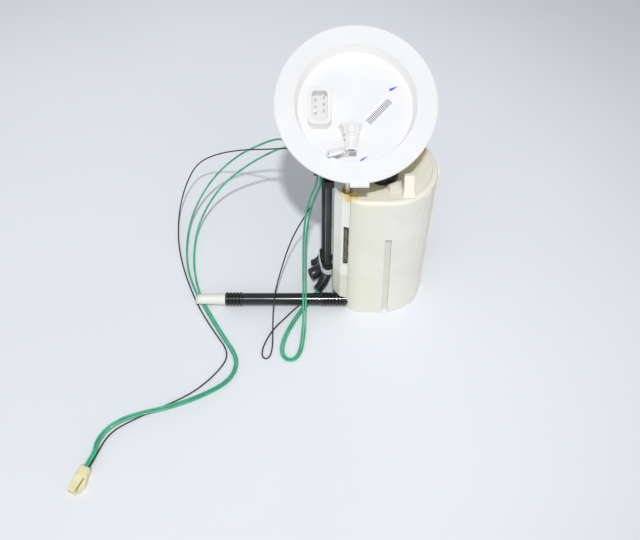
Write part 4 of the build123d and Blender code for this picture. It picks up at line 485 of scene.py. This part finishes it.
def hose(node, route, radius, rib, pitch):
    """A sleeve bent through three points, open at the first, with rounded ribs."""
    mouth, bend, top = (Vector(place) for place in route)
    square = (bend - mouth).cross(top - bend).normalized()
    build = bmesh.new()

    def ring(share, reach):
        center = mouth * (1 - share) ** 2 + bend * 2 * share * (1 - share) + top * share ** 2
        along = ((bend - mouth) * (1 - share) + (top - bend) * share).normalized()
        side = square.cross(along)
        turns = [2 * math.pi * step / SLEEVE_SIDES for step in range(SLEEVE_SIDES)]
        return [build.verts.new(
            (center + reach * (math.cos(turn) * square + math.sin(turn) * side)) * MM)
            for turn in turns]

    length = (bend - mouth).length + (top - bend).length
    bore = radius - rib - SLEEVE_WALL
    rings = [ring(MOUTH_DEPTH / length, bore), ring(0.0, bore)]
    for step in range(SLEEVE_STEPS + 1):
        share = step / SLEEVE_STEPS
        wave = 0.5 + 0.5 * math.cos(2 * math.pi * share * length / pitch)
        rings.append(ring(share, radius - rib * (1 - wave ** RIB_SHARPNESS)))
    skin(build, rings)
    for face in build.faces:
        face.smooth = len(face.verts) == 4
    piece = piece_from(build, "bent_" + node, "line_black")
    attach(piece, "pot")
    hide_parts(node)


for sleeve_node, sleeve in SLEEVES.items():
    hose(sleeve_node, *sleeve)

STRAP_END = -46.4               # where the band stops, at the bracket
STRAP_MIDDLE, STRAP_SLOPE = 29.5, -0.25
STRAP_HEIGHT = 5.6
STRAP_INSIDE, STRAP_OUTSIDE = 0.1, 1.1  # how far the band's faces stand off the sleeves
STRAP_DOTS = 40                 # around each sleeve
STRAP_STEPS = 60                # along the band
STRAP_LEVEL_X = SLEEVES["feed_sleeve"][0][-1][0]    # where the slant crosses STRAP_MIDDLE
TINY = 1e-9


def band_outline(extra):
    """Evenly spaced places of a band drawn around the sleeves, open towards the bracket."""
    dots = []
    for route, radius, _, _ in SLEEVES.values():
        x, y, _ = route[-1]
        for step in range(STRAP_DOTS):
            turn = 2 * math.pi * step / STRAP_DOTS
            dots.append(Vector((x + (radius + extra) * math.cos(turn),
                                y + (radius + extra) * math.sin(turn))))
    hull = [dots[index] for index in geometry.convex_hull_2d(dots)]
    hull = [dot for dot in hull if dot.x <= STRAP_END]
    first = max(range(len(hull)), key=lambda index: (hull[index] - hull[index - 1]).length)
    hull = hull[first:] + hull[:first]
    total = [0.0]
    for before, dot in zip(hull, hull[1:]):
        total.append(total[-1] + (dot - before).length)
    even = []
    for step in range(STRAP_STEPS + 1):
        want = total[-1] * step / STRAP_STEPS
        index = max(i for i in range(len(total) - 1) if total[i] <= want + TINY)
        share = (want - total[index]) / (total[index + 1] - total[index])
        even.append(hull[index].lerp(hull[index + 1], share))
    return even


def strap():
    """A nylon band drawn slanting around the three sleeves."""
    build = bmesh.new()
    columns = []
    for inner, outer in zip(band_outline(STRAP_INSIDE), band_outline(STRAP_OUTSIDE)):
        low = STRAP_MIDDLE - STRAP_HEIGHT / 2 + STRAP_SLOPE * (outer.x - STRAP_LEVEL_X)
        high = low + STRAP_HEIGHT
        columns.append([build.verts.new(Vector((dot.x, dot.y, height)) * MM)
                        for dot, height in ((inner, low), (outer, low), (outer, high),
                                            (inner, high))])
    skin(build, columns)
    piece = piece_from(build, "slanting_strap", "strap_nylon")
    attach(piece, "pot")
    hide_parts("line_strap")


strap()

# ------------------------------------------------------------ label bars and pen marks
FLANGE_ORIGIN = Vector((-29.6, 6.8, 224.0)) * MM
ON_FLANGE = Matrix.Translation(FLANGE_ORIGIN) @ Matrix.Rotation(FLANGE_TILT, 4, "X")
FLOOR_DEPTH = 12.5              # of the flange's recess
LABEL_THICKNESS = 0.25
INK = 0.03                      # thickness of what is printed or drawn


def flat_piece(name, outlines, height, finish):
    """Thin raised shapes on the flange, from outlines in the flange's own plane in mm."""
    build = bmesh.new()
    level, sunk = Vector((0, 0, 0)), ON_FLANGE.to_3x3() @ Vector((0, 0, -INK * MM))
    for outline in outlines:
        corners = [ON_FLANGE @ (Vector((x, y, height + INK)) * MM) for x, y in outline]
        skin(build, [[build.verts.new(corner + shift) for corner in corners]
                     for shift in (level, sunk)])
    piece = piece_from(build, name, finish)
    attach(piece, "flange")


LABEL_AT = Vector((17.5, -3.8))
LABEL_TURN = math.radians(45.9)
LABEL_ALONG = Vector((math.cos(LABEL_TURN), math.sin(LABEL_TURN)))
LABEL_ACROSS = Vector((-LABEL_ALONG.y, LABEL_ALONG.x))
BAR_COUNT, BAR_PITCH, BAR_WIDTH, BAR_LENGTH = 18, 1.42, 0.62, 5.4
BARS_ALONG, BARS_ACROSS = 1.2, -0.8     # middle of the bars, from the label's


def label_bar(along):
    """Corners of a bar that stands across the label."""
    middle = LABEL_AT + LABEL_ALONG * along + LABEL_ACROSS * BARS_ACROSS
    return [tuple(middle + LABEL_ALONG * a * BAR_WIDTH / 2 + LABEL_ACROSS * b * BAR_LENGTH / 2)
            for a, b in ((-1, -1), (1, -1), (1, 1), (-1, 1))]


bars = [label_bar((bar - (BAR_COUNT - 1) / 2) * BAR_PITCH + BARS_ALONG)
        for bar in range(BAR_COUNT)]
flat_piece("label_bars", bars, -FLOOR_DEPTH + LABEL_THICKNESS, "ink_grey")

# Shares of a dab's length, each with the share of its width there.
PEN_PROFILE = ((0.0, 0.25), (0.08, 0.75), (0.25, 1.0), (0.5, 0.8), (0.75, 0.45), (1.0, 0.05))


def pen_stroke(start, end, width):
    """A leaf-shaped dab of the pen, blunt at its start and pointed at its end."""
    start, end = Vector(start), Vector(end)
    along = end - start
    across = Vector((-along.y, along.x)).normalized() * width
    left = [tuple(start + along * t + across * w / 2) for t, w in PEN_PROFILE]
    right = [tuple(start + along * t - across * w / 2) for t, w in reversed(PEN_PROFILE)]
    return left + right


flat_piece("pen_mark_rear", [pen_stroke((27.2, 14.2), (34.0, 17.7), 2.2)], -FLOOR_DEPTH,
           "ink_blue")
flat_piece("pen_mark_front", [pen_stroke((3.5, -44.0), (9.7, -40.0), 1.6)], -FLOOR_DEPTH,
           "ink_blue")

# ------------------------------------------------------------ floor and light
FLOOR_HALF = 6.0
FLOOR_CELLS = 8
FLOOR_DROP = 0.0002             # keeps the sheet clear of what rests on it
FLOOR_LIGHT_POOL = ((-0.2, 0.0, 0.0), 0.55, 0.35)   # centre, radius and softness
SKY_COLOR, SKY_STRENGTH = (0.93, 0.965, 1.0, 1.0), 0.47


def ground():
    """A wide pale sheet under everything, a little darker away from the object: painted shade
    outside a pool of light.
    """
    mesh = bpy.data.meshes.new("floor")
    build = bmesh.new()
    bmesh.ops.create_grid(build, x_segments=FLOOR_CELLS, y_segments=FLOOR_CELLS, size=FLOOR_HALF)
    build.to_mesh(mesh)
    build.free()
    sheet = Surface("floor_paper", srgb(226, 229, 233), srgb(223, 226, 230), (0.55, 0.65), 3.0,
                    300.0, bump=0.01)
    # Painted shade: the sheet darkens outside a round pool of light around the object.
    sheet.paint(sheet.math("SUBTRACT", 1.0, sheet.near(*FLOOR_LIGHT_POOL)), srgb(184, 188, 193))
    mesh.materials.append(sheet.material)
    piece = bpy.data.objects.new("floor", mesh)
    piece.location = (0.0, 0.0, -FLOOR_DROP)
    bpy.context.scene.collection.objects.link(piece)


ground()
world = bpy.data.worlds.new("studio")
world.use_nodes = True
sky = world.node_tree.nodes["Background"]
sky.inputs["Color"].default_value = SKY_COLOR
sky.inputs["Strength"].default_value = SKY_STRENGTH
bpy.context.scene.world = world


def lamp(name, place, target, size, power):
    """A round soft white light that points at a target."""
    data = bpy.data.lights.new(name, "AREA")
    data.shape = "DISK"
    data.size = size
    data.energy = power
    piece = bpy.data.objects.new(name, data)
    piece.location = place
    piece.rotation_euler = (Vector(target) - Vector(place)).to_track_quat("-Z", "Y").to_euler()
    bpy.context.scene.collection.objects.link(piece)
    return piece


lamp("key", (-0.035, -1.338, 2.40), (-0.035, 1.562, 1.47), 0.12, 60.0)
lamp("fill", (0.2, -0.9, 1.6), (-0.08, -0.05, 0.0), 1.2, 1.8)
for side_light in (lamp("low_fill", (-0.75, -1.55, 0.75), (-0.03, 0.0, 0.18), 1.5, 3.6),
                   lamp("right_fill", (1.3, -1.1, 0.6), (0.0, 0.0, 0.1), 1.2, 3.0)):
    side_light.visible_glossy = False
bpy.context.scene.view_settings.view_transform = "Standard"

bpy.context.view_layer.update()
